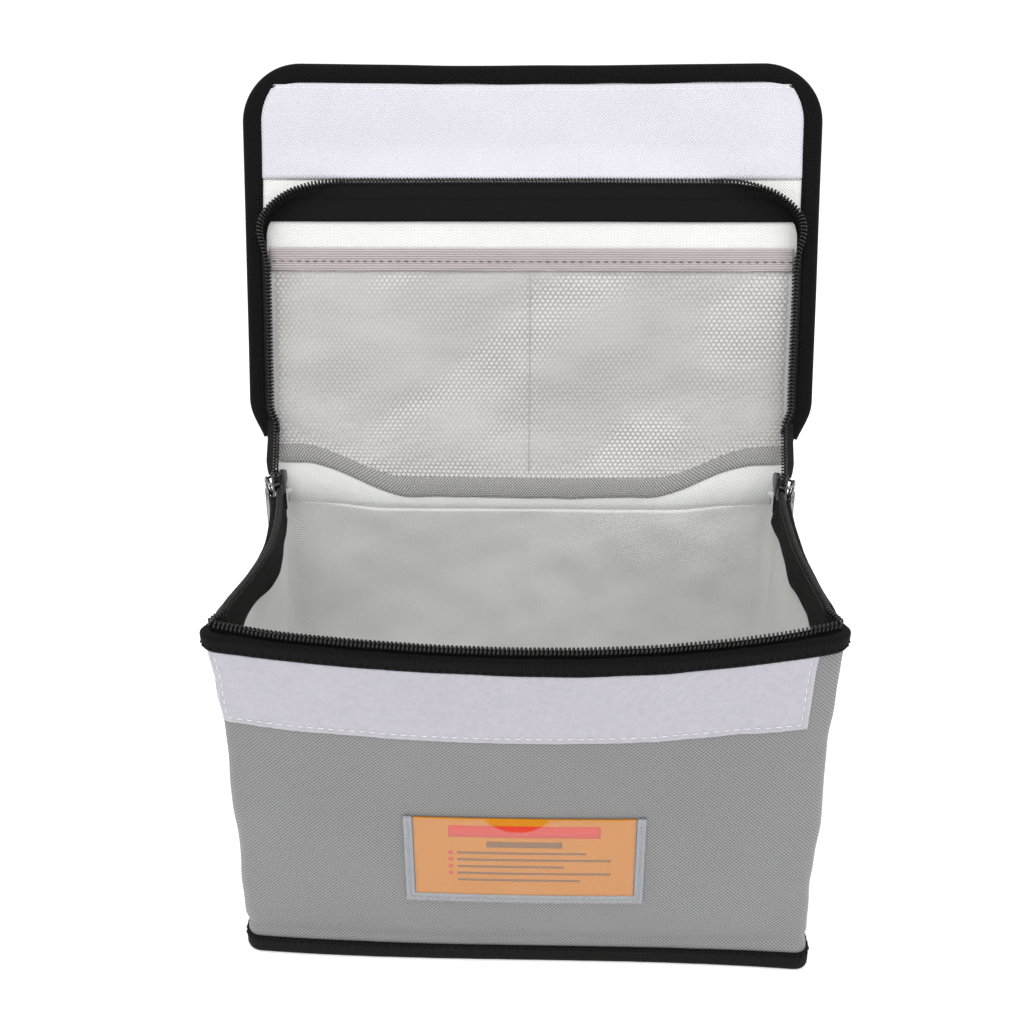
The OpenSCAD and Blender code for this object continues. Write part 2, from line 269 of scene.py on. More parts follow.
# ---------- the cover's shape ----------

TAPER_LOW, TAPER_HIGH = 6 * MM, 27 * MM    # s between which the cover widens
TAPER = 6.5 * MM           # how much narrower each side is at the hinge
HINGE_BOW = 5 * MM         # how far the cover's foot bows back at its middle
FLAP_BOW = 6 * MM          # how far the flap bows out over the front's bulge


def cover_half_w(s):
    """Half width of the cover's cloth, which narrows beside the hinge."""
    return COVER_HALF_W - TAPER * (1 - between(s, TAPER_LOW, TAPER_HIGH)) ** 1.3


def cover_wave(x, s):
    """Inward waviness of the cover's cloth."""
    wave = 0.9 * MM * ripple_on(x, s, 75 * MM, 11) + 0.25 * MM * ripple_on(x, s, 24 * MM, 12)
    edge = between(COVER_HALF_W - np.abs(x), 0, 18 * MM)
    bow = FLAP_BOW * np.clip(1 - (x / COVER_HALF_W) ** 2, 0, 1) ** 0.8
    bow = bow * between(s, FOLD_S - 12 * MM, FOLD_S + 10 * MM)
    return wave * (0.35 + 0.65 * edge) * between(s, 6 * MM, 24 * MM) - bow


def cover_point(x, s, i=0.0):
    """Point of the open cover: across x, s up from the hinge line, i in from the lining's face."""
    x, s = np.broadcast_arrays(np.asarray(x, float), np.asarray(s, float))
    depth = LINING_FACE - i - cover_wave(x, s)
    bow = HINGE_BOW * between(COVER_HALF_W - np.abs(x), 10 * MM, 70 * MM) * (1 - between(s, -4 * MM, 30 * MM))
    return (HINGE + x[..., None] * np.array([1, 0, 0]) + s[..., None] * S_AXIS
            + (depth - bow)[..., None] * N_AXIS)


# ---------- mesh builders ----------


def make_piece(name, verts, faces, material, uvs=None):
    """A mesh object. uvs holds a list of (u, v) pairs for each face, in metres of cloth."""
    mesh = bpy.data.meshes.new(name)
    mesh.from_pydata(np.asarray(verts).reshape(-1, 3).tolist(), [], faces)
    if uvs is not None:
        layer = mesh.uv_layers.new(name="cloth")
        layer.data.foreach_set("uv", np.asarray(uvs, np.float32).ravel())
    mesh.polygons.foreach_set("use_smooth", [True] * len(mesh.polygons))
    mesh.materials.append(material)
    piece = bpy.data.objects.new(name, mesh)
    bpy.context.scene.collection.objects.link(piece)
    return piece


def fasten(piece, body, finish, *nodes):
    """Puts a piece on a body and hides the CAD nodes that it stands for, if any; finish is not used."""
    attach(piece, body)
    if nodes:
        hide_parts(*nodes)


def grid_quads(rows, cols, closed, offset, flip):
    """Faces of one grid of points, and their (row, column) corners."""
    r, c = np.meshgrid(np.arange(rows - 1), np.arange(cols if closed else cols - 1), indexing="ij")
    r, c = r.ravel(), c.ravel()
    corners = [(r, c), (r, c + 1), (r + 1, c + 1), (r + 1, c)]
    if flip:
        corners = corners[::-1]
    faces = np.stack([offset + a * cols + b % cols for a, b in corners], axis=1)
    return faces, corners


def slab(name, face_a, face_b, u, v, material, closed=False):
    """A thin solid between two grids of points. u and v are distances along columns and rows."""
    rows, cols = face_a.shape[:2]
    if closed:
        u = np.append(u, 2 * u[-1] - u[-2])
    faces, uvs = [], []
    for offset, flip in ((0, False), (rows * cols, True)):
        quads, corners = grid_quads(rows, cols, closed, offset, flip)
        faces += quads.tolist()
        uvs.append(np.stack([np.stack([u[b], v[a]], axis=1) for a, b in corners], axis=1).reshape(-1, 2))

    def close_edge(spots, places, flip):
        """Quads between the two faces, along one edge given by its points and their (u, v)."""
        for k in range(len(places) - 1):
            near, far = spots[k], spots[k + 1]
            quad = [near, far, rows * cols + far, rows * cols + near]
            pair = [places[k], places[k + 1], places[k + 1], places[k]]
            faces.append(quad[::-1] if flip else quad)
            uvs.append(np.array(pair[::-1] if flip else pair))

    for row, flip in ((0, True), (rows - 1, False)):
        spots = [row * cols + c % cols for c in range(len(u))]
        close_edge(spots, [(at, v[row]) for at in u], flip)
    if not closed:
        for col, flip in ((0, False), (cols - 1, True)):
            close_edge([r * cols + col for r in range(rows)], [(u[col], at) for at in v], flip)
    verts = np.concatenate([face_a.reshape(-1, 3), face_b.reshape(-1, 3)])
    return make_piece(name, verts, faces, material, np.concatenate(uvs))


def sweep(name, rings, along, around, material, closed=False):
    """A solid swept through rings of points, shape (stations, ring points, 3)."""
    count, size = rings.shape[:2]
    faces, uvs = [], []
    around = np.append(around, around[-1] + (around[-1] - around[-2]))
    along = np.append(along, 2 * along[-1] - along[-2]) if closed else along
    for k in range(count if closed else count - 1):
        n = (k + 1) % count
        for j in range(size):
            m = (j + 1) % size
            faces.append([k * size + j, k * size + m, n * size + m, n * size + j])
            uvs += [(along[k], around[j]), (along[k], around[j + 1]), (along[k + 1], around[j + 1]),
                    (along[k + 1], around[j])]
    if not closed:
        for station, order in ((0, -1), (count - 1, 1)):
            faces.append([station * size + j for j in range(size)][::order])
            uvs += [(along[station], around[j]) for j in range(size)][::order]
    return make_piece(name, rings.reshape(-1, 3), faces, material, np.array(uvs))


def tube(points, radius, sides=8):
    """Rings of a round tube along points. radius is one number or one for each point."""
    tangent = unit(np.gradient(points, axis=0))
    guide = np.array([0.21, 0.35, 0.91])
    first = unit(np.cross(tangent, guide))
    second = np.cross(tangent, first)
    radius = np.broadcast_to(np.asarray(radius, float), len(points))[:, None, None]
    angle = np.linspace(0, 2 * math.pi, sides, endpoint=False)[None, :, None]
    return points[:, None, :] + radius * (np.cos(angle) * first[:, None] + np.sin(angle) * second[:, None])


def stitches(name, path, lift, material, pitch=3.0 * MM, length=2.2 * MM, radius=0.22 * MM):
    """A row of thread stitches along a path. lift is one vector or one for each point, out of the cloth."""
    along = distances(path)
    lift = np.broadcast_to(lift, path.shape)
    starts = np.arange(0.3 * pitch, along[-1] - length, pitch)
    # Share of the length, height in radii and thickness in radii, from one end of a stitch to the other
    shape = [(0.0, -1.0, 0.5), (0.12, 0.3, 0.95), (0.5, 0.75, 1.0), (0.88, 0.3, 0.95), (1.0, -1.0, 0.5)]
    shape = np.array(shape)
    sides = 6
    verts, faces = [], []
    for start in starts:
        spots = start + shape[:, 0] * length
        centre = values_at(spots, along, path)
        up = unit(values_at(spots, along, lift))
        centre = centre + up * (shape[:, 1] * radius)[:, None]
        forward = unit(centre[-1] - centre[0])
        across = unit(np.cross(np.broadcast_to(forward, up.shape), up))
        base = len(verts) * sides
        for k in range(len(shape)):
            angle = np.linspace(0, 2 * math.pi, sides, endpoint=False)[:, None]
            circle = np.cos(angle) * across[k] + np.sin(angle) * up[k]
            verts.append(centre[k] + radius * shape[k, 2] * circle)
        for k in range(len(shape) - 1):
            for j in range(sides):
                m = (j + 1) % sides
                row = base + k * sides
                faces.append([row + j, row + m, row + sides + m, row + sides + j])
        faces.append([base + j for j in range(sides)][::-1])
        faces.append([base + (len(shape) - 1) * sides + j for j in range(sides)])
    return make_piece(name, np.array(verts), faces, material)


def zipper_coil(name, path, up, material, pitch=1.45 * MM, half_h=1.05 * MM, half_w=0.85 * MM, wire=0.4 * MM):
    """A nylon coil: one filament wound in flattened loops along a path. up runs along the tape."""
    dense, along = resample(path, pitch / 14)
    up = unit(values_at(along, distances(path), np.broadcast_to(up, path.shape)))
    tangent = unit(np.gradient(dense, axis=0))
    side = unit(np.cross(tangent, up))
    turn = 2 * math.pi * along / pitch
    # Loops lean a little and have a flat head, as a moulded tooth has
    x = np.sign(np.cos(turn)) * np.abs(np.cos(turn)) ** 0.7
    y = np.sign(np.sin(turn)) * np.abs(np.sin(turn)) ** 0.6
    line = dense + side * (x * half_w)[:, None] + up * (y * half_h)[:, None]
    rings = tube(line, wire, 6)
    return sweep(name, rings, along, np.arange(6) * 0.35 * MM, material)

# ---------- materials ----------


class Surface:
    """One procedural material. u and v are distances along the cloth, in metres."""

    def __init__(self, name, roughness=0.7, **sockets):
        self.material = bpy.data.materials.new(name)
        self.material.use_nodes = True
        self.tree = self.material.node_tree
        self.shader = self.tree.nodes["Principled BSDF"]
        self.shader.inputs["Roughness"].default_value = roughness
        for socket, value in sockets.items():
            self.shader.inputs[socket.replace("_", " ")].default_value = value
        uv = self.node("ShaderNodeUVMap", uv_map="cloth")
        split = self.node("ShaderNodeSeparateXYZ")
        self.tree.links.new(uv.outputs[0], split.inputs[0])
        self.uv, self.u, self.v = uv.outputs[0], split.outputs[0], split.outputs[1]
        self.place = self.node("ShaderNodeTexCoord").outputs["Object"]

    def node(self, kind, **settings):
        """A new node with these settings."""
        made = self.tree.nodes.new(kind)
        for key, value in settings.items():
            setattr(made, key, value)
        return made

    def feed(self, socket, value):
        """Links an output to a socket, or sets the socket to a plain value."""
        if isinstance(value, bpy.types.NodeSocket):
            self.tree.links.new(value, socket)
        else:
            socket.default_value = value

    def math(self, operation, a, b=0.0):
        """Result of a sum on two values."""
        made = self.node("ShaderNodeMath", operation=operation)
        self.feed(made.inputs[0], a)
        self.feed(made.inputs[1], b)
        return made.outputs[0]

    def wave(self, along, period):
        """Sine wave from -1 to 1 of one period along a distance."""
        return self.math("SINE", self.math("MULTIPLY", along, 2 * math.pi / period))

    def step(self, value, low, high):
        """0 below low and 1 above high, smooth between."""
        made = self.node("ShaderNodeMapRange", interpolation_type="SMOOTHSTEP")
        self.feed(made.inputs["Value"], value)
        made.inputs["From Min"].default_value = low
        made.inputs["From Max"].default_value = high
        return made.outputs["Result"]

    def noise(self, size, detail=2.0, on_cloth=True, stretch=(1, 1, 1), roughness=0.5):
        """Cloudy noise from 0 to 1 whose blots are about size across."""
        mapping = self.node("ShaderNodeMapping")
        self.feed(mapping.inputs[0], self.uv if on_cloth else self.place)
        mapping.inputs["Scale"].default_value = stretch
        made = self.node("ShaderNodeTexNoise")
        self.feed(made.inputs["Vector"], mapping.outputs[0])
        made.inputs["Scale"].default_value = 1 / size
        made.inputs["Detail"].default_value = detail
        made.inputs["Roughness"].default_value = roughness
        return made.outputs["Fac"]

    def mix(self, share, first, second):
        """Blend of two colours."""
        made = self.node("ShaderNodeMix", data_type="RGBA")
        self.feed(made.inputs[0], share)
        for socket, colour in ((made.inputs[6], first), (made.inputs[7], second)):
            self.feed(socket, colour if isinstance(colour, bpy.types.NodeSocket) else (*colour, 1))
        return made.outputs[2]

    def colour(self, value):
        """Sets the base colour."""
        self.feed(self.shader.inputs["Base Color"],
                  value if isinstance(value, bpy.types.NodeSocket) else (*value, 1))

    def gloss(self, value, low, high):
        """Roughness from low to high as value goes from 0 to 1."""
        self.feed(self.shader.inputs["Roughness"],
                  self.math("ADD", self.math("MULTIPLY", value, high - low), low))

    def bump(self, *layers):
        """Adds bump layers, each (height from 0 to 1, depth in metres)."""
        normal = None
        for height, depth in layers:
            made = self.node("ShaderNodeBump")
            made.inputs["Distance"].default_value = depth
            self.feed(made.inputs["Height"], height)
            if normal is not None:
                self.tree.links.new(normal, made.inputs["Normal"])
            normal = made.outputs[0]
        self.tree.links.new(normal, self.shader.inputs["Normal"])


def grey(value, tint=(1, 1, 1)):
    """Linear colour of a screen grey from 0 to 255, with a tint."""
    level = value / 255
    linear = level / 12.92 if level <= 0.04045 else ((level + 0.055) / 1.055) ** 2.4
    return tuple(linear * t for t in tint)


def outer_cloth():
    """Coated silver-grey cloth with a fine basket weave."""
    s = Surface("outer_cloth", 0.55, Specular_IOR_Level=0.45, Sheen_Weight=0.08)
    pitch = 1.5 * MM
    basket = s.math("MULTIPLY", s.wave(s.u, pitch), s.wave(s.v, pitch))
    hollow = s.step(basket, 0.15, 0.95)
    knuckle = s.step(basket, -0.1, -0.9)
    blotch = s.noise(9 * MM, 3)
    broad = s.noise(60 * MM, 2, on_cloth=False)
    base = s.mix(broad, grey(122), grey(134, (1, 1, 1.01)))
    base = s.mix(hollow, base, grey(66))
    base = s.mix(s.math("MULTIPLY", s.math("MULTIPLY", knuckle, blotch), 0.35), base, grey(166))
    s.colour(base)
    s.gloss(blotch, 0.42, 0.62)
    s.bump((s.noise(26 * MM, 4), 0.5 * MM), (basket, -0.09 * MM), (s.noise(0.5 * MM, 2), 0.03 * MM))
    return s.material


def lining_cloth(name, tone, crumple):
    """Pale glass-fibre cloth with a fine cross twill, a satin sheen and small creases."""
    s = Surface(name, 0.42, Specular_IOR_Level=0.55, Sheen_Weight=0.15)
    pitch = 1.15 * MM
    rising = s.wave(s.math("ADD", s.u, s.v), pitch)
    falling = s.wave(s.math("SUBTRACT", s.u, s.v), pitch)
    twill = s.math("ADD", s.math("MULTIPLY", rising, 0.75), s.math("MULTIPLY", falling, 0.25))
    cloud = s.noise(22 * MM, 4)
    base = s.mix(cloud, grey(tone - 10, (0.99, 1, 0.965)), grey(tone + 8, (0.995, 1, 0.975)))
    base = s.mix(s.step(twill, 0.0, 1.0), base, grey(tone - 52, (1, 1, 0.97)))
    s.colour(base)
    s.gloss(cloud, 0.34, 0.52)
    ridge = s.math("ABSOLUTE", s.math("SUBTRACT", s.noise(17 * MM, 3, roughness=0.55), 0.5))
    s.bump((ridge, crumple), (s.noise(60 * MM, 2), 2 * crumple), (twill, -0.06 * MM))
    return s.material


def ribbed_webbing(name, tone, period, depth, fleck=0.0, sheen=0.25, across=True):
    """Woven tape with ribs across its length, or along it."""
    s = Surface(name, 0.8, Specular_IOR_Level=0.08, Sheen_Weight=sheen, Sheen_Roughness=0.5)
    rib = s.wave(s.u if across else s.v, period)
    cross = s.wave(s.v if across else s.u, period * 0.62)
    weave = s.math("MULTIPLY", s.math("ADD", rib, 1), s.math("ADD", cross, 2.2))
    fuzz = s.noise(0.8 * MM, 3)
    wear = s.noise(14 * MM, 3)
    base = s.mix(s.step(weave, 0.2, 5), grey(max(tone - 10, 3)), grey(tone + 8, (1.05, 1, 0.98)))
    base = s.mix(s.math("MULTIPLY", s.step(fuzz, 0.5, 0.8), 0.3 + fleck), base, grey(tone + 26 + 60 * fleck))
    base = s.mix(s.math("MULTIPLY", wear, 0.22), base, grey(tone + 16))
    if fleck:
        dots = s.math("MULTIPLY", rib, s.wave(s.v if across else s.u, period))
        base = s.mix(s.step(dots, 0.1, 0.9), base, grey(tone + 120 * fleck))
        base = s.mix(s.step(dots, -0.1, -0.9), base, grey(tone - 90 * fleck))
    s.colour(base)
    s.bump((rib, depth), (cross, depth * 0.4), (fuzz, 0.05 * MM))
    return s.material


def zipper_tape_cloth():
    """Close black herringbone tape."""
    s = Surface("zipper_tape_cloth", 0.85, Specular_IOR_Level=0.1, Sheen_Weight=0.02)
    column = s.math("PINGPONG", s.v, 1.3 * MM)
    weave = s.wave(s.math("ADD", s.u, column), 0.62 * MM)
    fuzz = s.noise(0.6 * MM, 2)
    s.colour(s.mix(s.step(weave, -1, 1), grey(12), s.mix(fuzz, grey(18), grey(28))))
    s.bump((weave, 0.06 * MM), (fuzz, 0.04 * MM))
    return s.material


def nylon(name, tone):
    """Moulded nylon filament, slightly glossy."""
    s = Surface(name, 0.3, Specular_IOR_Level=0.4, Coat_Weight=0.05, Coat_Roughness=0.3)
    specks = s.noise(1.2 * MM, 2, on_cloth=False)
    s.colour(s.mix(specks, grey(tone - 6), grey(tone + 8)))
    s.gloss(specks, 0.24, 0.42)
    return s.material


def hook_cloth():
    """Stiff off-white hook tape: rows of tiny hooks."""
    s = Surface("hook_cloth", 0.6, Specular_IOR_Level=0.35, Sheen_Weight=0.2)
    rows = s.math("MULTIPLY", s.wave(s.u, 1.25 * MM), s.wave(s.v, 1.5 * MM))
    cloud = s.noise(30 * MM, 3)
    base = s.mix(cloud, grey(198, (0.985, 0.96, 1.05)), grey(210, (0.99, 0.97, 1.05)))
    s.colour(s.mix(s.step(rows, 0.2, 1.6), base, grey(174, (0.98, 0.95, 1.06))))
    s.bump((rows, 0.12 * MM), (s.noise(0.7 * MM, 2), 0.08 * MM), (cloud, 0.4 * MM))
    return s.material


def loop_cloth():
    """Soft off-white loop pile with brushed tufts."""
    s = Surface("loop_cloth", 0.9, Specular_IOR_Level=0.15, Sheen_Weight=0.6, Sheen_Roughness=0.6)
    tufts = s.noise(2.2 * MM, 5, roughness=0.7)
    clumps = s.noise(7 * MM, 3)
    base = s.mix(tufts, grey(154, (0.99, 0.95, 1.08)), grey(191, (0.99, 0.96, 1.07)))
    s.colour(s.mix(s.math("MULTIPLY", clumps, 0.35), base, grey(156, (0.98, 0.95, 1.07))))
    s.bump((clumps, 0.5 * MM), (tufts, 0.5 * MM), (s.noise(0.45 * MM, 3), 0.2 * MM))
    return s.material


def thread(name, tone, tint=(1, 1, 1)):
    """Twisted sewing thread."""
    s = Surface(name, 0.8, Specular_IOR_Level=0.1, Sheen_Weight=0.03)
    twist = s.noise(0.3 * MM, 2, on_cloth=False, stretch=(1, 1, 2.5))
    s.colour(s.mix(twist, grey(tone - 14, tint), grey(tone + 8, tint)))
    s.bump((twist, 0.05 * MM))
    return s.material


def net_strand():
    """Fine knitted strands of the pocket's net."""
    s = Surface("net_strand", 0.5, Specular_IOR_Level=0.5, Sheen_Weight=0.35)
    yarn = s.noise(0.35 * MM, 2, on_cloth=False)
    broad = s.noise(26 * MM, 2, on_cloth=False, stretch=(0.6, 1, 1.6))
    base = s.mix(s.step(broad, 0.35, 0.65), grey(172, (1.07, 0.91, 0.9)), grey(210, (1.05, 0.95, 0.94)))
    s.colour(s.mix(s.math("MULTIPLY", yarn, 0.5), base, grey(180, (1.05, 0.93, 0.92))))
    s.bump((yarn, 0.06 * MM))
    return s.material


def hem_elastic():
    """Pinkish-grey elastic with fine ribs along it."""
    s = Surface("hem_elastic", 0.65, Sheen_Weight=0.3)
    rib = s.wave(s.v, 0.95 * MM)
    tooth = s.wave(s.u, 0.55 * MM)
    base = s.mix(s.step(rib, -0.8, 0.9), grey(160, (1.06, 0.92, 0.95)), grey(200, (1.05, 0.94, 0.96)))
    s.colour(s.mix(s.math("MULTIPLY", s.step(tooth, 0, 1), 0.25), base, grey(170, (1.06, 0.93, 0.96))))
    s.bump((rib, 0.16 * MM), (tooth, 0.05 * MM))
    return s.material


def printed_card(name, rgb, gloss):
    """Printed card stock with slight mottling."""
    s = Surface(name, gloss, Specular_IOR_Level=0.12)
    mottle = s.noise(5 * MM, 4, on_cloth=False)
    darker = tuple(c * 0.86 for c in rgb)
    s.colour(s.mix(mottle, darker, rgb))
    s.bump((s.noise(0.6 * MM, 2, on_cloth=False), 0.01 * MM))
    return s.material


def clear_sheet():
    """Clear flexible sheet with faint handling marks."""
    s = Surface("clear_sheet", 0.12, Specular_IOR_Level=0.4, IOR=1.46)
    smear = s.noise(18 * MM, 3, on_cloth=False)
    s.colour(s.mix(smear, (0.70, 0.72, 0.74), (0.86, 0.87, 0.88)))
    s.gloss(smear, 0.06, 0.24)
    s.shader.inputs["Alpha"].default_value = 0.07
    s.bump((s.noise(30 * MM, 1, on_cloth=False), 0.15 * MM))
    return s.material


def window_edge():
    """Blue-grey plastic edge, pressed and stitched."""
    s = Surface("window_edge", 0.38, Specular_IOR_Level=0.5)
    grain = s.noise(0.9 * MM, 3, on_cloth=False)
    s.colour(s.mix(grain, grey(122, (0.94, 1, 1.1)), grey(150, (0.95, 1, 1.08))))
    s.bump((grain, 0.06 * MM))
    return s.material


def plated_metal():
    """Gunmetal-plated zinc, brighter where it rubs."""
    s = Surface("plated_metal", 0.33, Metallic=1.0)
    rub = s.noise(2.5 * MM, 4, on_cloth=False)
    geometry = s.node("ShaderNodeNewGeometry")
    edge = s.step(geometry.outputs["Pointiness"], 0.505, 0.56)
    base = s.mix(rub, grey(52, (1, 1, 1.03)), grey(74, (1, 1, 1.03)))
    s.colour(s.mix(edge, base, grey(140)))
    s.gloss(rub, 0.26, 0.42)
    s.bump((s.noise(0.4 * MM, 2, on_cloth=False), 0.01 * MM))
    return s.material


OUTER = outer_cloth()
LINING = lining_cloth("lining_cloth", 233, 0.5 * MM)
COVER_LINING = lining_cloth("cover_lining_cloth", 228, 1.2 * MM)
BINDING = ribbed_webbing("black_binding", 11, 0.75 * MM, 0.12 * MM, sheen=0.03)
STRAP = ribbed_webbing("black_strap", 12, 1.1 * MM, 0.2 * MM, sheen=0.03)
SEAM_TAPE = ribbed_webbing("grey_webbing", 150, 1.25 * MM, 0.16 * MM, fleck=0.5, sheen=0.1)
TAPE = zipper_tape_cloth()
COIL = nylon("black_nylon", 16)
HOOK = hook_cloth()
LOOP = loop_cloth()
WHITE_THREAD = thread("white_thread", 240)
GREY_THREAD = thread("grey_thread", 158, (0.97, 1, 1.05))
BLACK_THREAD = thread("black_thread", 15)
HEM_THREAD = thread("hem_thread", 112, (1.04, 0.98, 1))
NET_THREAD = thread("net_thread", 176, (1.04, 0.97, 0.98))
NET = net_strand()
HEM = hem_elastic()
CARD = printed_card("card_orange", (0.55, 0.2, 0.004), 0.5)
CARD_RED = printed_card("card_red", (0.62, 0.045, 0.02), 0.45)
CARD_INK = printed_card("card_ink", (0.22, 0.10, 0.03), 0.45)
CLEAR = clear_sheet()
WINDOW_EDGE = window_edge()
METAL = plated_metal()

# ---------- the box ----------


def on_wall(t, z, out=0.0):
    """Point on the bowed wall at distance t, height z, standing out by out."""
    return sag(wall_point(t, z, -np.asarray(out, float)))


def wall_stitches(name, t, z, out, thread_material, *spacing):
    """A row of stitches along a line on the wall. spacing is their pitch, length and radius."""
    path = on_wall(t, z, out)
    return stitches(name, path, path - on_wall(t, z), thread_material, *spacing)


def box_cloth():
    """The outer cloth and the lining, each one loft round the box."""
    t = np.linspace(-HALF_LOOP, HALF_LOOP, 340, endpoint=False)
    rise = (BACK_TOP - WALL_TOP) * between(np.abs(t), BACK_CORNER_T - 3 * MM, BACK_CORNER_T + 4 * MM)
    # Along the back both layers stop short of the bend that the hinge cloth makes
    back_starts = BACK_CORNER_T + CORNER_RUN
    at_back = between(np.abs(t), back_starts, back_starts + 5 * MM)
    outer_top = WALL_TOP + rise - 6.5 * MM * at_back
    lining_top = WALL_TOP - 5 * MM * at_back
    rows = np.linspace(0, 1, 76)[:, None]
    for name, low, top, near, far, radius, material, nodes, finish in (
        ("outer_wall", OUTER_T, outer_top, 0, OUTER_T - 0.05 * MM, None, OUTER,
         ("front_panel", "back_panel", "left_panel", "right_panel"), "outer_fabric"),
        ("wall_lining", WALL_T, lining_top, WALL_T, OUTER_T + 0.02 * MM, LINING_CORNER_R, LINING,
         ("front_lining", "back_lining", "left_lining", "right_lining"), "lining"),
    ):
        z = low + rows * (top - low)
        grid_t = np.broadcast_to(t, z.shape)
        face_near = sag(wall_point(grid_t, z, near, radius))
        face_far = sag(wall_point(grid_t, z, far, radius))
        piece = slab(name, face_near, face_far, t, rows[:, 0] * WALL_TOP, material, closed=True)
        fasten(piece, "bag_body", finish, *nodes)


def floor_cloth(name, inset, low, high, material, node, finish):
    """One layer of the bag's bottom, with rounded corners and a slight quilted unevenness."""
    half_w, half_d, r = HALF_W - inset, HALF_D - inset, CORNER_R - inset
    y = half_d * np.sin(np.linspace(-math.pi / 2, math.pi / 2, 61))
    over = np.clip(np.abs(y) - (half_d - r), 0, r)
    reach = half_w - r + np.sqrt(r * r - over * over)
    x = np.linspace(-1, 1, 101)[None, :] * reach[:, None]
    grid_y = np.broadcast_to(y[:, None], x.shape)
    wave = 0.25 * MM * ripple_on(x, grid_y, 40 * MM, 21) * between(reach[:, None] - np.abs(x), 0, 12 * MM)
    top = sag(np.stack([x, grid_y, high + np.maximum(wave, -0.2 * MM)], axis=-1))
    bottom = sag(np.stack([x, grid_y, np.full(x.shape, low)], axis=-1))
    piece = slab(name, bottom, top, x[len(x) // 2], y, material)
    fasten(piece, "bag_body", finish, node)


def wall_band(name, profile, t, material, closed, wobble, seed):
    """Binding swept round the wall: profile is a ring of (out, z) points."""
    profile = np.array(profile)
    shift = wobble * ripple_on(t, 0, 9 * MM, seed)
    z = profile[None, :, 1] + shift[:, None]
    grid_t = np.broadcast_to(t[:, None], z.shape)
    rings = sag(wall_point(grid_t, z, -np.broadcast_to(profile[None, :, 0], z.shape)))
    return sweep(name, rings, t, distances(profile), material, closed)


RIM_END_T = BACK_CORNER_T + 5 * MM


def bindings():
    """Ribbed binding round the foot and over the rim of the walls."""
    # Both profiles are rings of (out from the wall, height), in millimetres
    head = BINDING_H / MM
    foot = [(0.06, head), (0.6, head + 0.15), (0.97, head - 0.35), (1.0, 5.4), (1.0, 2.6), (0.95, 1.1),
            (0.6, 0.25), (0.0, 0.0), (-2.4, 0.0), (-4.9, 0.02), (-5.0, 0.5), (-2.4, 0.55), (0.0, 0.6),
            (0.06, 1.4), (0.06, 4.4)]
    t = np.linspace(-HALF_LOOP, HALF_LOOP, 420, endpoint=False)
    piece = wall_band("foot_binding", np.array(foot) * MM, t, BINDING, True, 0.05 * MM, 31)
    fasten(piece, "bag_body", "binding", "bottom_binding")

    low, top, shelf = RIM_BINDING_LOW / MM, WALL_TOP / MM + 1.5, WALL_TOP / MM + 0.06
    rim = [(0.15, low), (0.75, low - 0.1), (1.1, low + 0.4), (1.2, low + 2.5), (1.15, top - 1.6),
           (0.85, top - 0.45), (0.1, top), (-1.4, top), (-2.4, top - 0.1), (-2.72, top - 0.7),
           (-2.72, shelf), (-1.2, shelf), (0.02, shelf), (0.1, shelf - 0.6), (0.1, low + 2.6)]
    t = np.linspace(-RIM_END_T, RIM_END_T, 300)
    piece = wall_band("rim_edge_binding", np.array(rim) * MM, t, BINDING, False, 0.12 * MM, 32)
    fasten(piece, "bag_body", "binding", "rim_binding")
    for name, end_t, z, out in (
        ("rim_binding_stitches", RIM_END_T - 2 * MM, RIM_BINDING_LOW + 1.3 * MM, 1.22 * MM),
        ("foot_binding_stitches", HALF_LOOP, BINDING_H - 1.4 * MM, 1.02 * MM),
    ):
        row = wall_stitches(name, np.linspace(-end_t, end_t, 500), z, out, BLACK_THREAD)
        fasten(row, "bag_body", "binding")


def coil_inset(t):
    """Depth of the body coil behind the wall's outer face, which is least along the front."""
    off_front = between(np.abs(t), FRONT_HALF - 25 * MM, FRONT_CORNER_T + 8 * MM)
    return HALF_W - COIL_X - 1.9 * MM * (1 - off_front)


def body_zipper():
    """The body's half of the zipper: woven tape with a loose lower edge, and the coil."""
    coil_z = RIM_H - 1.5 * MM
    t = np.linspace(-RIM_END_T, RIM_END_T, 330)
    down = np.linspace(0, 1, 20)[:, None]
    curl = 1.4 * MM + 1.3 * MM * ripple_on(t, 0, 26 * MM, 41)
    curl *= between(RIM_END_T - np.abs(t), 0, 14 * MM) * between(np.abs(t), FRONT_HALF - 30 * MM, FRONT_HALF)
    depth = coil_z - TAPE_LOW + 0.9 * MM * ripple_on(t, 0, 17 * MM, 42)
    z = coil_z - down * depth
    settle = between(down, 0.05, 0.33)
    inset = coil_inset(t) * (1 - settle) + (WALL_T + 0.25 * MM) * settle
    inset = inset + curl * between(down, 0.45, 1.1) ** 1.5
    grid_t = np.broadcast_to(t, z.shape)
    face_out = sag(wall_point(grid_t, z, inset - 0.02 * MM))
    face_in = sag(wall_point(grid_t, z, inset + 0.6 * MM))
    tape = slab("body_tape", face_in, face_out, t, down[:, 0] * TAPE_W, TAPE)
    fasten(tape, "bag_body", "zipper_tape", "body_zipper_tape")

    path = sag(wall_point(t, coil_z, coil_inset(t)))
    coil = zipper_coil("body_coil", path, np.array([0, 0, 1.0]), COIL)
    fasten(coil, "bag_body", "zipper_coil", "body_zipper_coil")
    # A row of thread that holds the coil on its tape
    row_z = coil_z - 2.1 * MM
    rows = sag(wall_point(t, row_z, coil_inset(t) * 0.8 + WALL_T * 0.2 - 0.05 * MM))
    outward = rows - sag(wall_point(t, row_z, coil_inset(t) + 2 * MM))
    seam = stitches("body_coil_stitches", rows, outward, BLACK_THREAD, 1.45 * MM, 1.1 * MM, 0.2 * MM)
    fasten(seam, "bag_body", "zipper_tape")


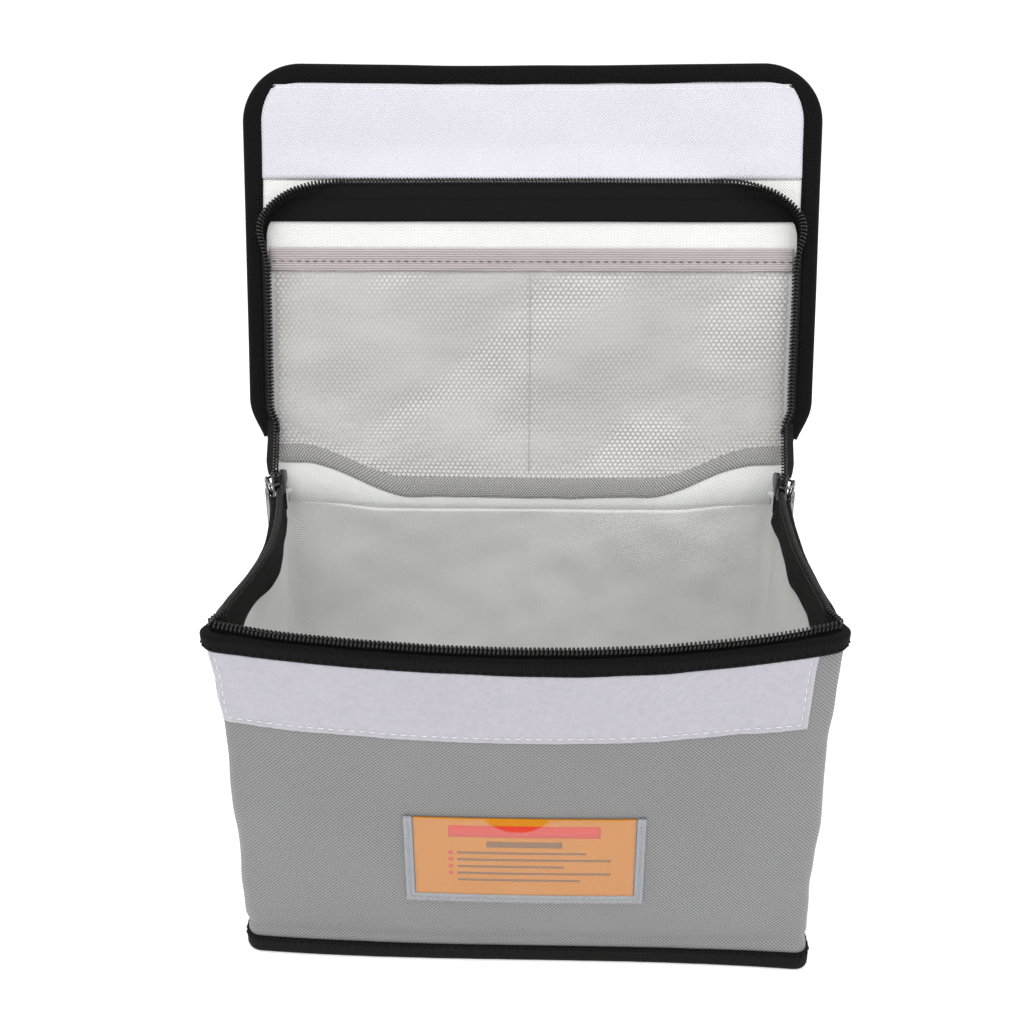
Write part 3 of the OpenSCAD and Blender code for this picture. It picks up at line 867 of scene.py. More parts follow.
def three_sides(left, right, foot, head, step):
    """Evenly spaced points down the left side, along the foot and up the right side, as (t, z)."""
    corners = np.array([(left, head, 0), (left, foot, 0), (right, foot, 0), (right, head, 0)])
    spaced, _ = resample(corners, step)
    return spaced[:, 0], spaced[:, 1]


def loop_patch():
    """The loop strip on the front, with its pile and its white stitching."""
    low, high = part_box("loop_strip")
    t = np.linspace(low.x, high.x, 260)
    z = np.linspace(low.z, RIM_BINDING_LOW + 0.2 * MM, 44)[:, None]
    grid_t, grid_z = np.broadcast_arrays(t, z)
    pile = 0.1 * MM * ripple_on(grid_t, grid_z, 2.4 * MM, 51)
    pile = pile + 0.12 * MM * ripple_on(grid_t, grid_z, 7 * MM, 52)
    margin = 2.5 * MM
    rim = np.minimum(grid_t - low.x, high.x - grid_t)
    rim = np.minimum(rim, grid_z - low.z)
    groove = 0.35 * MM * np.exp(-((rim - margin) / (0.7 * MM)) ** 2)
    thick = 0.45 * MM + 0.6 * MM * between(rim, 0, 1.6 * MM) - groove + pile
    strip = slab("loop_patch", on_wall(grid_t, grid_z, thick), on_wall(grid_t, grid_z, 0.06 * MM),
                 t, z[:, 0], LOOP)
    fasten(strip, "bag_body", "loop_strip", "loop_strip")
    t, z = three_sides(low.x + margin, high.x - margin, low.z + margin, RIM_BINDING_LOW - 1 * MM, 1.5 * MM)
    row = wall_stitches("loop_patch_stitches", t, z, 0.95 * MM, WHITE_THREAD, 3.6 * MM, 2 * MM, 0.13 * MM)
    fasten(row, "bag_body", "thread")


def front_strip(name, x, z, low, high, material):
    """A thin slab on the front wall between two standing-out distances. x and z are grids."""
    return slab(name, on_wall(x, z, high), on_wall(x, z, low), x[0], z[:, 0], material)


POCKET_EDGE_T = -HALF_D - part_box("window_border")[0].y


def pocket_edge():
    """The pressed plastic edge round the left, lower and right sides of the clear window."""
    low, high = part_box("label_window")
    edge_w = 3.1 * MM
    outside = np.array([(low.x, high.z, 0), (low.x, low.z, 0), (high.x, low.z, 0), (high.x, high.z, 0)])
    inside = np.array([(low.x + edge_w, high.z, 0), (low.x + edge_w, low.z + edge_w, 0),
                       (high.x - edge_w, low.z + edge_w, 0), (high.x - edge_w, high.z, 0)])
    # place runs 0 to 1 down the left side, to 2 along the foot and to 3 up the right side
    place = np.concatenate([np.linspace(0, 1, 24, endpoint=False), np.linspace(1, 2, 50, endpoint=False),
                            np.linspace(2, 3, 25)])
    share = np.linspace(0, 1, 9)[:, None, None]
    grid = values_at(place, range(4), outside) * (1 - share) + values_at(place, range(4), inside) * share
    crown = POCKET_EDGE_T - 0.25 * MM + 0.2 * MM * np.sin(share[..., 0] * math.pi) ** 0.6
    crown = np.broadcast_to(crown, grid.shape[:2])
    edge = slab("window_edge_strip", on_wall(grid[..., 0], grid[..., 1], crown),
                on_wall(grid[..., 0], grid[..., 1], 0.06 * MM), place * 40 * MM, share[:, 0, 0] * edge_w,
                WINDOW_EDGE)
    fasten(edge, "bag_body", "window_border", "window_border")


def pocket_window():
    """The clear sheet, with a thumb notch in its upper edge, and the stitches that hold it."""
    low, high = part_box("label_window")
    x = np.linspace(low.x, high.x, 90)
    notch_x, notch_r, notch_depth = -2.5 * MM, 14 * MM, 6 * MM
    reach = np.sqrt(np.clip(notch_r ** 2 - (x - notch_x) ** 2, 0, None)) - (notch_r - notch_depth)
    top = high.z - np.clip(reach, 0, None)
    share = np.linspace(0, 1, 40)[:, None]
    z = low.z + share * (top - low.z)
    grid_x = np.broadcast_to(x, z.shape)
    sheet_low, sheet_high = POCKET_EDGE_T, -HALF_D - low.y
    swell = 0.25 * MM * np.sin(share * math.pi) * np.cos(x / high.x * math.pi / 2)
    window = slab("clear_window", on_wall(grid_x, z, sheet_high + swell),
                  on_wall(grid_x, z, sheet_low + swell), x, share[:, 0] * (high.z - low.z), CLEAR)
    fasten(window, "bag_body", "label_window", "label_window")
    margin = 1.5 * MM
    t, z = three_sides(low.x + margin, high.x - margin, low.z + margin, high.z - 1 * MM, 1.2 * MM)
    row = wall_stitches("window_stitches", t, z, sheet_high + 0.04 * MM, GREY_THREAD,
                        2.6 * MM, 1.9 * MM, 0.2 * MM)
    fasten(row, "bag_body", "window_border")


def label_card():
    """The card, with plain bars in place of its printed words."""
    low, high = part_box("label_card")
    back, face = -HALF_D - high.y, -HALF_D - low.y
    grid_x, grid_z = np.meshgrid(np.linspace(low.x, high.x, 60), np.linspace(low.z, high.z, 30))
    card = front_strip("printed_card", grid_x, grid_z, back, face, CARD)
    fasten(card, "card", "label_card", "label_card")
    # Each bar's name, left and right ends, height above the card's middle, and thickness, in millimetres
    middle = (low.z + high.z) / 2
    bars = [("title", -27, 27, 12.0, 5.4, CARD_RED), ("heading", -13.5, 13.5, 6.0, 2.7, CARD_INK)]
    for row, (left, right) in enumerate(((-24, 22), (-24, 31), (-24, 14), (-24, 31), (-24, 20))):
        bars.append((f"line_{row}", left, right, 2.0 - 3.2 * row, 1.0, CARD_INK))
        if row < 4:
            bars.append((f"dot_{row}", left - 3.2, left - 1.6, 2.0 - 3.2 * row, 1.6, CARD_RED))
    for name, left, right, at, tall, material in bars:
        columns = np.linspace(left * MM, right * MM, max(3, int(right - left)))
        grid_x, grid_z = np.meshgrid(columns, middle + (at + np.array([-tall / 2, 0, tall / 2])) * MM)
        bar = front_strip("card_print_" + name, grid_x, grid_z, face + 0.005 * MM, face + 0.05 * MM, material)
        fasten(bar, "card", "label_card")


# ---------- where the back wall turns into the cover ----------

BEND_TOP = 14 * MM            # s where the bend has become the cover
BEND_LOW = -23 * MM           # s down the back wall's inside, past the hinge
BEND_NARROW = 0.925           # how much narrower the bend is on the wall than on the cover
HINGE_CLOTH_T = 1.2 * MM
HINGE_LINING_HALF_W = 111.6 * MM
HINGE_OUTER_HALF_W = 105 * MM
HINGE_OUTER_L = 31 * MM       # length of the outer cloth across the hinge
WEBBING_W = 8.2 * MM
WEBBING_HALF_W = 109 * MM     # half of its length across the bag


def back_wall(x, z, inset):
    """Point on the back wall at x."""
    t = np.where(x < 0, -1, 1) * (HALF_LOOP - np.abs(x))
    return sag(wall_point(t, z, inset, LINING_CORNER_R))


def bend_table():
    """Points and inward normals of the bend's inner face on a grid of s and x."""
    x = np.linspace(-112, 112, 141) * MM
    x_wall = x * BEND_NARROW
    wall_rows = np.linspace(BACK_TOP - 11 * MM, BACK_TOP - 5 * MM, 8)
    wall = np.stack([back_wall(x_wall, z, WALL_T + 0.3 * MM) for z in wall_rows])
    head = wall[-1]
    turn = [head, head + np.array([0, 0, 8]) * MM, cover_point(x, 2 * MM), cover_point(x, BEND_TOP)]
    curve = np.concatenate([wall[:-1], bezier(turn, 40)])
    steps = np.linalg.norm(np.diff(curve, axis=0), axis=2)
    s = np.concatenate([np.zeros((1, len(x))), np.cumsum(steps, axis=0)])
    s += BEND_TOP - s[-1]
    rows = np.linspace(BEND_LOW, BEND_TOP, 80)
    points = np.zeros((len(rows), len(x), 3))
    for k in range(len(x)):
        for axis in range(3):
            points[:, k, axis] = np.interp(rows, s[:, k], curve[:, k, axis])
    normals = unit(np.cross(np.gradient(points, axis=1), np.gradient(points, axis=0)))
    return x, rows, points, normals * np.where(normals[..., 1:2] > 0, -1, 1)


BEND = bend_table()


def inner_point(x, s, i=0.0):
    """As cover_point, but below BEND_TOP it follows the bend down into the box."""
    x, s, i = np.broadcast_arrays(np.asarray(x, float), np.asarray(s, float), np.asarray(i, float))
    xs, rows, points, normals = BEND
    col = np.clip((x - xs[0]) / (xs[1] - xs[0]), 0, len(xs) - 1.001)
    row = np.clip((s - rows[0]) / (rows[1] - rows[0]), 0, len(rows) - 1.001)
    c, r = col.astype(int), row.astype(int)
    fc, fr = (col - c)[..., None], (row - r)[..., None]

    def mixed(table):
        top = table[r, c] * (1 - fc) + table[r, c + 1] * fc
        return top * (1 - fr) + (table[r + 1, c] * (1 - fc) + table[r + 1, c + 1] * fc) * fr

    bent = mixed(points) + unit(mixed(normals)) * i[..., None]
    return np.where((s < BEND_TOP)[..., None], bent, cover_point(x, s, i))


def webbing_low(x):
    """Where the grey webbing over the inner seam starts: low in the middle, high at its ends."""
    wander = 0.35 * MM * ripple_on(x, 0, 22 * MM, 61)
    return -14.3 * MM + 13.5 * MM * between(np.abs(x), 54 * MM, 98 * MM) + wander


def bend_with_hinge(piece):
    """Bakes the world transform into a piece that crosses the hinge."""
    tuple(cover_point(0, 8 * MM))
    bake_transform(piece)


def hinge_cloth():
    """Inner and outer cloth across the hinge, and the grey webbing over the inner seam."""
    s = np.linspace(BEND_LOW + 1 * MM, BEND_TOP + 2 * MM, 72)[:, None]
    half = HINGE_LINING_HALF_W - 2 * MM * between(s, -4 * MM, 9 * MM)
    x = np.linspace(-1, 1, 150)[None, :] * half
    # Its edges dive under the linings next to it, so that no step shows
    under = 0.7 * MM * (1 - between(s, BEND_LOW + 1 * MM, BEND_LOW + 6 * MM))
    under = np.maximum(under, 0.35 * MM * (1 - between(half - np.abs(x), 0, 3 * MM)))
    lining = slab("hinge_lining", inner_point(x, s, -under), inner_point(x, s, -HINGE_CLOTH_T),
                  x[30], s[:, 0], LINING)
    x = np.linspace(-HINGE_OUTER_HALF_W, HINGE_OUTER_HALF_W, 120)
    low = back_wall(x, BACK_TOP - 8.5 * MM, -0.02 * MM)
    turn = [low, low + np.array([0, 0.2, 11.5]) * MM, cover_point(x, 2 * MM, -WALL_T - 0.02 * MM),
            cover_point(x, COVER_START + 2 * MM, -WALL_T - 0.02 * MM)]
    outside = bezier(turn, 18)
    inside = outside - np.array([0, HINGE_CLOTH_T, 0])
    cloth = slab("hinge_outer_cloth", outside, inside, x, np.linspace(0, HINGE_OUTER_L, 18), OUTER)
    for piece, finish in ((lining, "lining"), (cloth, "outer_fabric")):
        bend_with_hinge(piece)

    x = np.linspace(-WEBBING_HALF_W, WEBBING_HALF_W, 170)[None, :]
    across = np.linspace(0, 1, 14)[:, None]
    s = webbing_low(x) + WEBBING_W * across
    thick = 0.95 * MM * np.sin(np.clip(across, 0.03, 0.97) * math.pi) ** 0.25
    web = slab("hinge_seam_webbing", inner_point(x, s, thick), inner_point(x, s, 0.1 * MM), x[0],
               across[:, 0] * WEBBING_W, SEAM_TAPE)
    bend_with_hinge(web)
    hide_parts("hinge_webbing")


# ---------- the cover and its flap ----------

FOLD_START, FOLD_END = 116 * MM, 124 * MM      # where the cloth turns from the cover into the flap


def cover_stitches(name, x, s, i, thread_material, *spacing):
    """A row of stitches on the cover: on its lining where i is positive, else on its outer cloth."""
    return stitches(name, cover_point(x, s, i), -np.sign(i) * N_AXIS, thread_material, *spacing)


def fold_with_flap(piece):
    """Bakes the world transform into a piece that runs along the cover past the flap's fold."""
    start, end = cover_point(0, FOLD_START), cover_point(0, FOLD_END)
    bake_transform(piece)


def edge_half_w(s, inset):
    """Half width of the cover and flap at s, with the flap's rounded corners."""
    past = np.clip(s - (FLAP_TIP - FLAP_R), 0, FLAP_R - inset)
    return cover_half_w(s) - FLAP_R + np.sqrt((FLAP_R - inset) ** 2 - past ** 2)


def cover_cloths():
    """Outer cloth and lining of the cover and its flap, each one sheet."""
    inset = BINDING_T + 0.05 * MM
    for name, start, near, far, material, nodes, finish in (
        ("cover_outer_cloth", COVER_START, -LINING_T - 0.02 * MM, -WALL_T, OUTER,
         ("cover_outer", "flap_outer"), "outer_fabric"),
        ("cover_lining_sheet", BEND_TOP - 1 * MM, 0, -LINING_T + 0.02 * MM, COVER_LINING,
         ("cover_lining", "flap_lining"), "lining"),
    ):
        low = np.linspace(start, FLAP_TIP - FLAP_R, 96, endpoint=False)
        corner = FLAP_TIP - FLAP_R + (FLAP_R - inset) * np.sin(np.linspace(0, math.pi / 2, 26))
        s = np.concatenate([low, corner])[:, None]
        x = np.linspace(-1, 1, 150)[None, :] * edge_half_w(s, inset)
        # The lining's lower edge dives under the hinge lining
        dive = 0.35 * MM * (1 - between(s, BEND_TOP - 1 * MM, BEND_TOP + 3 * MM)) * (near == 0)
        piece = slab(name, cover_point(x, s, near - dive), cover_point(x, s, far), x[20], s[:, 0], material)
        fold_with_flap(piece)
        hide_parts(*nodes)


def quarter_turn(right, top, radius, count):
    """Rounded corner that starts at x = right and ends at s = top, without its first point."""
    turn = np.linspace(0, math.pi / 2, count)[1:]
    return np.stack([right - radius + radius * np.cos(turn), top - radius + radius * np.sin(turn)], axis=1)


def arch_over(right, top, count):
    """The path of a right half, a straight run at s = top, and the mirrored left half."""
    across = np.linspace(right[-1, 0], -right[-1, 0], count)[1:-1]
    straight = np.stack([across, np.full(len(across), top)], axis=1)
    return np.concatenate([right, straight, right[::-1] * (-1, 1)])


def cover_edge():
    """Path round the cover's edge from beside the hinge, over the flap, and back: (x, s)."""
    rise = np.linspace(COVER_START + 2.5 * MM, FLAP_TIP - FLAP_R, 110)
    side = np.stack([cover_half_w(rise), rise], axis=1)
    right = np.concatenate([side, quarter_turn(COVER_HALF_W, FLAP_TIP, FLAP_R, 26)])
    return arch_over(right, FLAP_TIP, 120)


def inward_of(path):
    """Unit normals of a flat path that runs anticlockwise, towards its inside."""
    tangent = unit(np.gradient(path, axis=0))
    return np.stack([-tangent[:, 1], tangent[:, 0]], axis=1)


def cover_binding():
    """Ribbed binding folded over the edge of the cover and flap, with its stitching."""
    path = cover_edge()
    along = distances(path)
    inward = inward_of(path)
    width, back = EDGE_W / MM, -WALL_T / MM
    # A ring of (in from the edge, height over the lining), in millimetres
    profile = [(width, 0.04), (width - 0.05, 0.75), (width - 0.6, 1.0), (4.5, 1.02), (2.2, 1.05),
               (0.8, 0.75), (0.1, -0.2), (0.0, back / 2), (0.1, back + 0.3), (0.8, back - 0.75),
               (2.2, back - 1.05), (width - 0.6, back - 1.0), (width - 0.05, back - 0.75),
               (width, back - 0.04), (1.02, back - 0.03), (1.02, 0.03)]
    profile = np.array(profile) * MM
    wander = 0.35 * MM * ripple_on(along, 0, 28 * MM, 71)
    depth = profile[None, :, 0] + wander[:, None] * (profile[None, :, 0] > 4 * MM)
    x = path[:, None, 0] + inward[:, None, 0] * depth
    s = path[:, None, 1] + inward[:, None, 1] * depth
    rings = cover_point(x, s, profile[None, :, 1])
    piece = sweep("cover_edge_binding", rings, along, distances(profile), BINDING)
    fold_with_flap(piece)
    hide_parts("cover_binding_left", "cover_binding_right", "flap_binding")
    line = path + inward * (EDGE_W - 1.7 * MM)
    for word, height in (("inside", 1.04 * MM), ("outside", -WALL_T - 1.04 * MM)):
        row = cover_stitches("cover_binding_stitches_" + word, line[:, 0], line[:, 1], height, BLACK_THREAD)
        fold_with_flap(row)


def hook_band():
    """The hook strip on the flap, stitched round its edges."""
    head = cover_extent("hook_strip")[1][1]
    foot = COVER_COIL_S + 1.2 * MM
    s = np.linspace(foot, head, 40)[:, None]
    x = np.linspace(-1, 1, 130)[None, :] * (edge_half_w(s, 0) - EDGE_W - 0.2 * MM)
    rim = np.minimum(s - foot, head - s) + 0 * x
    thick = 0.5 * MM + 0.6 * MM * between(rim, 0, 1.2 * MM)
    strip = slab("hook_band", cover_point(x, s, thick), cover_point(x, s, 0.05 * MM), x[0], s[:, 0], HOOK)
    fold_with_flap(strip)
    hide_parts("hook_strip")
    for name, at in (("hook_stitches_low", foot + 2.2 * MM), ("hook_stitches_high", head - 2.2 * MM)):
        reach = float(edge_half_w(np.array(at), 0)) - EDGE_W - 1 * MM
        x = np.linspace(-reach, reach, 160)
        row = cover_stitches(name, x, at, 1.06 * MM, WHITE_THREAD, 3.2 * MM, 2 * MM, 0.11 * MM)
        fold_with_flap(row)


SEW_HALF_W = 109.2 * MM        # the cover tape's line of sewing along the sides
SEW_TOP = 107.7 * MM           # and along the front
SEW_R = 16 * MM
SELVEDGE = 98.5 * MM           # the tape's other edge along the front
COIL_REACH = 6.5 * MM          # from the sewing to the coil
LOOSE_W = 9.2 * MM             # from the sewing to the tape's other edge
ZIP_LOW = 16 * MM              # where the cover's coil leaves for the slider
SEW_SIDE_POINTS, SEW_CORNER_POINTS = 90, 24


def sewing_line():
    """The line that the cover's zipper tape is sewn along, as (x, s), and the angle it stands up at."""
    rise = np.linspace(ZIP_LOW, SEW_TOP - SEW_R, SEW_SIDE_POINTS)
    half = np.minimum(SEW_HALF_W, cover_half_w(rise) - 7.4 * MM)
    side = np.stack([half, rise], axis=1)
    right = np.concatenate([side, quarter_turn(SEW_HALF_W, SEW_TOP, SEW_R, SEW_CORNER_POINTS)])
    path = arch_over(right, SEW_TOP, 130)
    # Degrees: past upright along the sides, and flat along the front
    stand = 125 - 40 * between(path[:, 1], 78 * MM, 100 * MM)
    stand = stand - 85 * (1 - between(np.abs(path[:, 0]), 72 * MM, 104 * MM))
    return path, np.radians(np.clip(stand, 0, 125))


def cover_zipper():
    """The cover's half of the zipper: flat along the front and standing, leaning in, along the sides."""
    path, stand = sewing_line()
    along = distances(path)
    outward = -inward_of(path)
    share = np.linspace(0, 1, 15)[None, :]
    loose = np.clip((path[:, 1] - SELVEDGE) / np.maximum(outward[:, 1], 0.2), 1 * MM, LOOSE_W)[:, None]
    distance = np.where(share < 0.5, (2 * share - 1) * loose, (2 * share - 1) * COIL_REACH)
    angle = stand[:, None] * between(share, 0.42, 0.72)
    steps = np.diff(distance, axis=1)
    middle_angle = (angle[:, 1:] + angle[:, :-1]) / 2
    out = np.concatenate([0 * loose, np.cumsum(steps * np.cos(middle_angle), axis=1)], axis=1)
    high = np.concatenate([0 * loose, np.cumsum(steps * np.sin(middle_angle), axis=1)], axis=1)
    # Both are measured from the sewing, which is the middle column
    sewn = slice(share.size // 2, share.size // 2 + 1)
    out, high = out - out[:, sewn], high - high[:, sewn]
    puff = 0.25 * MM * ripple_on(along, 0, 16 * MM, 73)[:, None] * np.abs(share - 0.5)
    lean_out, lean_up = -np.sin(angle), np.cos(angle)
    faces = []
    for thick in (0.85 * MM, 0.1 * MM):
        reach = out + lean_out * thick
        i = high + lean_up * thick + 0.1 * MM + np.abs(puff)
        faces.append(cover_point(path[:, None, 0] + outward[:, None, 0] * reach,
                                 path[:, None, 1] + outward[:, None, 1] * reach, i).transpose(1, 0, 2))
    inside, outside = faces
    tape = slab("cover_tape", inside, outside, along, share[0] * 15 * MM, TAPE)
    fasten(tape, "cover", "zipper_tape", "cover_zipper_tape")

    up = unit(inside[-1] - inside[-3])
    coil_path = (inside[-1] + outside[-1]) / 2 + up * 0.4 * MM
    coil = zipper_coil("cover_coil", coil_path, up, COIL)
    fasten(coil, "cover", "zipper_coil", "cover_zipper_coil")
    half_points = SEW_SIDE_POINTS + SEW_CORNER_POINTS - 1
    front = path[half_points:-half_points]
    sewing = cover_point(front[:, 0], front[:, 1], 0.98 * MM)
    beside_coil = (inside[-2] + inside[-3]) / 2
    for name, points, lift in (("cover_tape_stitches", sewing, -N_AXIS),
                               ("cover_coil_stitches", beside_coil, unit(inside[-2] - outside[-2]))):
        row = stitches(name, points, lift, BLACK_THREAD, 2.4 * MM, 1.8 * MM, 0.2 * MM)
        fasten(row, "cover", "zipper_tape")
    return coil_path, up


def hinge_zipper(coil_path, up):
    """Short lengths of tape and coil that run from each slider's mouth up to the cover."""
    for side, end, word in ((1, 0, "right"), (-1, -1, "left")):
        head, head_up = coil_path[end], up[end]
        mouth = np.array([side * COIL_X, SLIDER_FRONT + 1.2 * MM, PIVOT[2] + 1.7 * MM])
        curve = bezier([mouth, mouth + np.array([0, -4 * MM, 5 * MM]), head - 11 * MM * S_AXIS, head], 40)
        share = np.linspace(0, 1, 40)[:, None]
        from_mouth = np.array([0, -0.75, 1.0]) * np.clip(1 - 2 * share, 0, 1)
        towards = unit(from_mouth + head_up * np.clip(2 * share, 0, 1))
        coil = zipper_coil("hinge_coil_" + word, curve, towards, COIL)
        # The tape hangs from the coil, back and outward
        tangent = np.gradient(curve, axis=0)
        outward = unit(np.cross(tangent, np.cross(towards, tangent)))
        droop = np.array([side * 0.75, 0.45, 0.0])
        width = np.linspace(0.3, 6.2, 8) * MM
        grid = curve[:, None] - width[None, :, None] * unit(outward - droop)[:, None]
        thick = unit(np.cross(np.gradient(grid, axis=0), np.gradient(grid, axis=1))) * 0.3 * MM
        tape = slab("hinge_tape_" + word, grid + thick, grid - thick, width, share[:, 0] * 30 * MM, TAPE)
        for piece, finish in ((coil, "zipper_coil"), (tape, "zipper_tape")):
            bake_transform(piece)


# ---------- the net pocket ----------

NET_HALF_W = POCKET_HALF_W + 6.5 * MM


def pocket_height(x, s):
    """Height of the loose net over the lining: soft diagonal wrinkles, held down at its edges."""
    fold = ripple_on(x * 0.55 - s, 0.3 * x, 30 * MM, 81)
    other = ripple_on(x, s, 46 * MM, 82)
    free = between(NET_HALF_W - np.abs(x), 0, 14 * MM) * between(s - webbing_low(x) - WEBBING_W, 0, 14 * MM)
    free *= 0.4 + 0.6 * between(np.abs(x), 0.5 * MM, 9 * MM)
    return 0.5 * MM + free * 1.6 * MM * np.clip(0.5 + 0.6 * fold + 0.45 * other, 0, 1.5)


def net_lines():
    """Ends of every strand of the net, as two lists of (x, s)."""
    # Six-sided cells: their width, the height of a row, and how far its zigzag line swings
    cell, row_h, zig = 2.1 * MM, 1.6 * MM, 0.36 * MM
    low, high = -7.5 * MM, HEM_LOW + 1 * MM
    columns = int(2 * NET_HALF_W / cell) * 2
    rows = int((high - low) / row_h)
    k = np.arange(columns + 1)
    starts, ends = [], []
    for row in range(rows + 1):
        odd = (k + row) % 2
        line = np.stack([(k - columns / 2) * cell / 2, low + row * row_h + zig * (1 - 2 * odd)], axis=1)
        starts.append(line[:-1])
        ends.append(line[1:])
        if row < rows:
            peaks = line[odd == 0]
            starts.append(peaks)
            ends.append(peaks + np.array([0, row_h - 2 * zig]))
    starts, ends = np.concatenate(starts), np.concatenate(ends)
    # The net ends under the webbing
    kept = np.minimum(starts[:, 1], ends[:, 1]) > webbing_low(starts[:, 0]) + WEBBING_W - 0.6 * MM
    return starts[kept], ends[kept]


def pocket_net():
    """The net itself, every strand a thin three-sided bar."""
    starts, ends = net_lines()
    a = inner_point(starts[:, 0], starts[:, 1], pocket_height(starts[:, 0], starts[:, 1]))
    b = inner_point(ends[:, 0], ends[:, 1], pocket_height(ends[:, 0], ends[:, 1]))
    forward = unit(b - a)
    a, b = a - forward * 0.1 * MM, b + forward * 0.1 * MM
    across = unit(np.cross(forward, -N_AXIS))
    up = np.cross(across, forward)
    half_w, half_h = 0.18 * MM, 0.14 * MM
    corners = [across * half_w - up * half_h, up * 1.5 * half_h, -across * half_w - up * half_h]
    verts = np.stack([a + c for c in corners] + [b + c for c in corners], axis=1).reshape(-1, 3)
    base = np.arange(len(a))[:, None, None] * 6
    sides = (base + np.array([(0, 3, 4, 1), (1, 4, 5, 2), (2, 5, 3, 0)])[None]).reshape(-1, 4)
    ends = (base + np.array([(0, 1, 2), (5, 4, 3)])[None]).reshape(-1, 3)
    net = make_piece("pocket_net", verts, sides.tolist() + ends.tolist(), NET)
    bend_with_hinge(net)
    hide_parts("pocket_mesh")


def pocket_trim():
    """The pocket's elastic hem and the row of stitches that divides it."""
    x = np.linspace(-POCKET_HALF_W - 7.5 * MM, POCKET_HALF_W + 7.5 * MM, 240)[None, :]
    s = np.linspace(HEM_LOW, HEM_HIGH, 20)[:, None]
    gather = 0.2 * MM * ripple_on(x, s, 9 * MM, 83)
    height = 1.5 * MM + gather + 0.16 * MM * np.sin((s - HEM_LOW) / (0.95 * MM) * 2 * math.pi)
    height = height - 0.5 * MM * (1 - between(np.minimum(s - HEM_LOW, HEM_HIGH - s), 0, 0.9 * MM))
    hem = slab("pocket_hem_band", cover_point(x, s, height), cover_point(x, s, 0.3 * MM), x[0], s[:, 0], HEM)
    fasten(hem, "cover", "pocket_hem", "pocket_hem")
    at = HEM_LOW + 0.42 * (HEM_HIGH - HEM_LOW)
    row = cover_stitches("hem_stitches", x[0], at, 1.72 * MM, HEM_THREAD, 3.4 * MM, 1.7 * MM, 0.24 * MM)
    fasten(row, "cover", "pocket_hem")
    rise = np.linspace(-4 * MM, HEM_LOW, 120)
    points = inner_point(0 * rise, rise, pocket_height(0 * rise, rise) + 0.25 * MM)
    row = stitches("divider_stitches", points, -N_AXIS, NET_THREAD, 2.6 * MM, 2.1 * MM, 0.22 * MM)
    bend_with_hinge(row)
    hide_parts("pocket_divider_stitch")


def handle():
    """The carrying strap across the cover's back, sewn down at both ends."""
    low, high = cover_extent("handle_strap")
    x = np.linspace(low[0], high[0], 160)
    lift = (high[2] - low[2] - 1.6 * MM) * between(65 * MM - np.abs(x), 18 * MM, 40 * MM)
    s = np.linspace(low[1], high[1], 24)[:, None]
    crown = 0.5 * MM * np.sin((s - low[1]) / (high[1] - low[1]) * math.pi) * between(lift, 0, 8 * MM)[None, :]
    base = -WALL_T - 0.08 * MM - lift[None, :] - crown
    run = distances(np.stack([x, lift], axis=1))
    grid_x = np.broadcast_to(x[None, :], base.shape)
    strap = slab("carry_strap", cover_point(grid_x, s, base), cover_point(grid_x, s, base - 1.5 * MM), run,
                 s[:, 0], STRAP)
    fasten(strap, "cover", "handle_strap", "handle_strap")
    for side, word in ((1, "right"), (-1, "left")):
        outer, inner = side * (high[0] - 2 * MM), side * (high[0] - 16 * MM)
        foot, head = low[1] + 2.5 * MM, high[1] - 2.5 * MM
        # A box with a cross in it
        corners = [(outer, foot), (outer, head), (inner, head), (inner, foot),
                   (outer, foot), (inner, head), (outer, head), (inner, foot)]
        line, _ = resample(np.array([(a, b, 0) for a, b in corners]), 0.8 * MM)
        row = cover_stitches("strap_stitches_" + word, line[:, 0], line[:, 1], -WALL_T - 1.68 * MM,
                             BLACK_THREAD, 2.6 * MM, 2 * MM)
        fasten(row, "cover", "handle_strap")


# ---------- sliders and pull tabs ----------


def plate(name, outline, low, high, bevel, material):
    """A flat plate in the YZ plane between x low and high, its edges bevelled."""
    outline = np.array(outline)
    middle = outline.mean(0)
    shrunk = outline + unit(middle - outline) * bevel
    rings = []
    for flat, x in ((shrunk, low), (outline, low + bevel), (outline, high - bevel), (shrunk, high)):
        rings.append(np.concatenate([np.full((len(flat), 1), x), flat], axis=1))
    return sweep(name, np.array(rings), np.arange(4) * MM, np.arange(len(outline)) * MM, material)


def slider_outline(length, mouth, nose):
    """Shield outline of a slider's plate, wide at its two mouths and round at the other end."""
    half = []
    mouth_r = 1.6 * MM
    for a in np.linspace(0, math.pi / 2, 7):
        half.append((-length / 2 + mouth_r * (1 - math.sin(a) ** 0.9), mouth - mouth_r * (1 - math.sin(a))))
    half += [(-1 * MM, mouth * 0.98), (1.2 * MM, (mouth + nose) / 2 * 1.02)]
    for a in np.linspace(0, math.pi / 2, 8):
        half.append((length / 2 - nose + nose * math.sin(a), nose * math.cos(a)))
    top = [(SLIDER_Y + y, PIVOT[2] + z) for y, z in half]
    under = [(SLIDER_Y + y, PIVOT[2] - z) for y, z in half[::-1][1:]]
    return top + under


def closed_tube(name, points, radius, material, sides=10):
    """A ring of wire through points."""
    points = np.array(points)
    wrapped = np.concatenate([points[-2:], points, points[:2]])
    rings = tube(wrapped, radius, sides)[2:-2]
    return sweep(name, rings, np.arange(len(points)) * MM, np.arange(sides) * 0.3 * MM, material, closed=True)


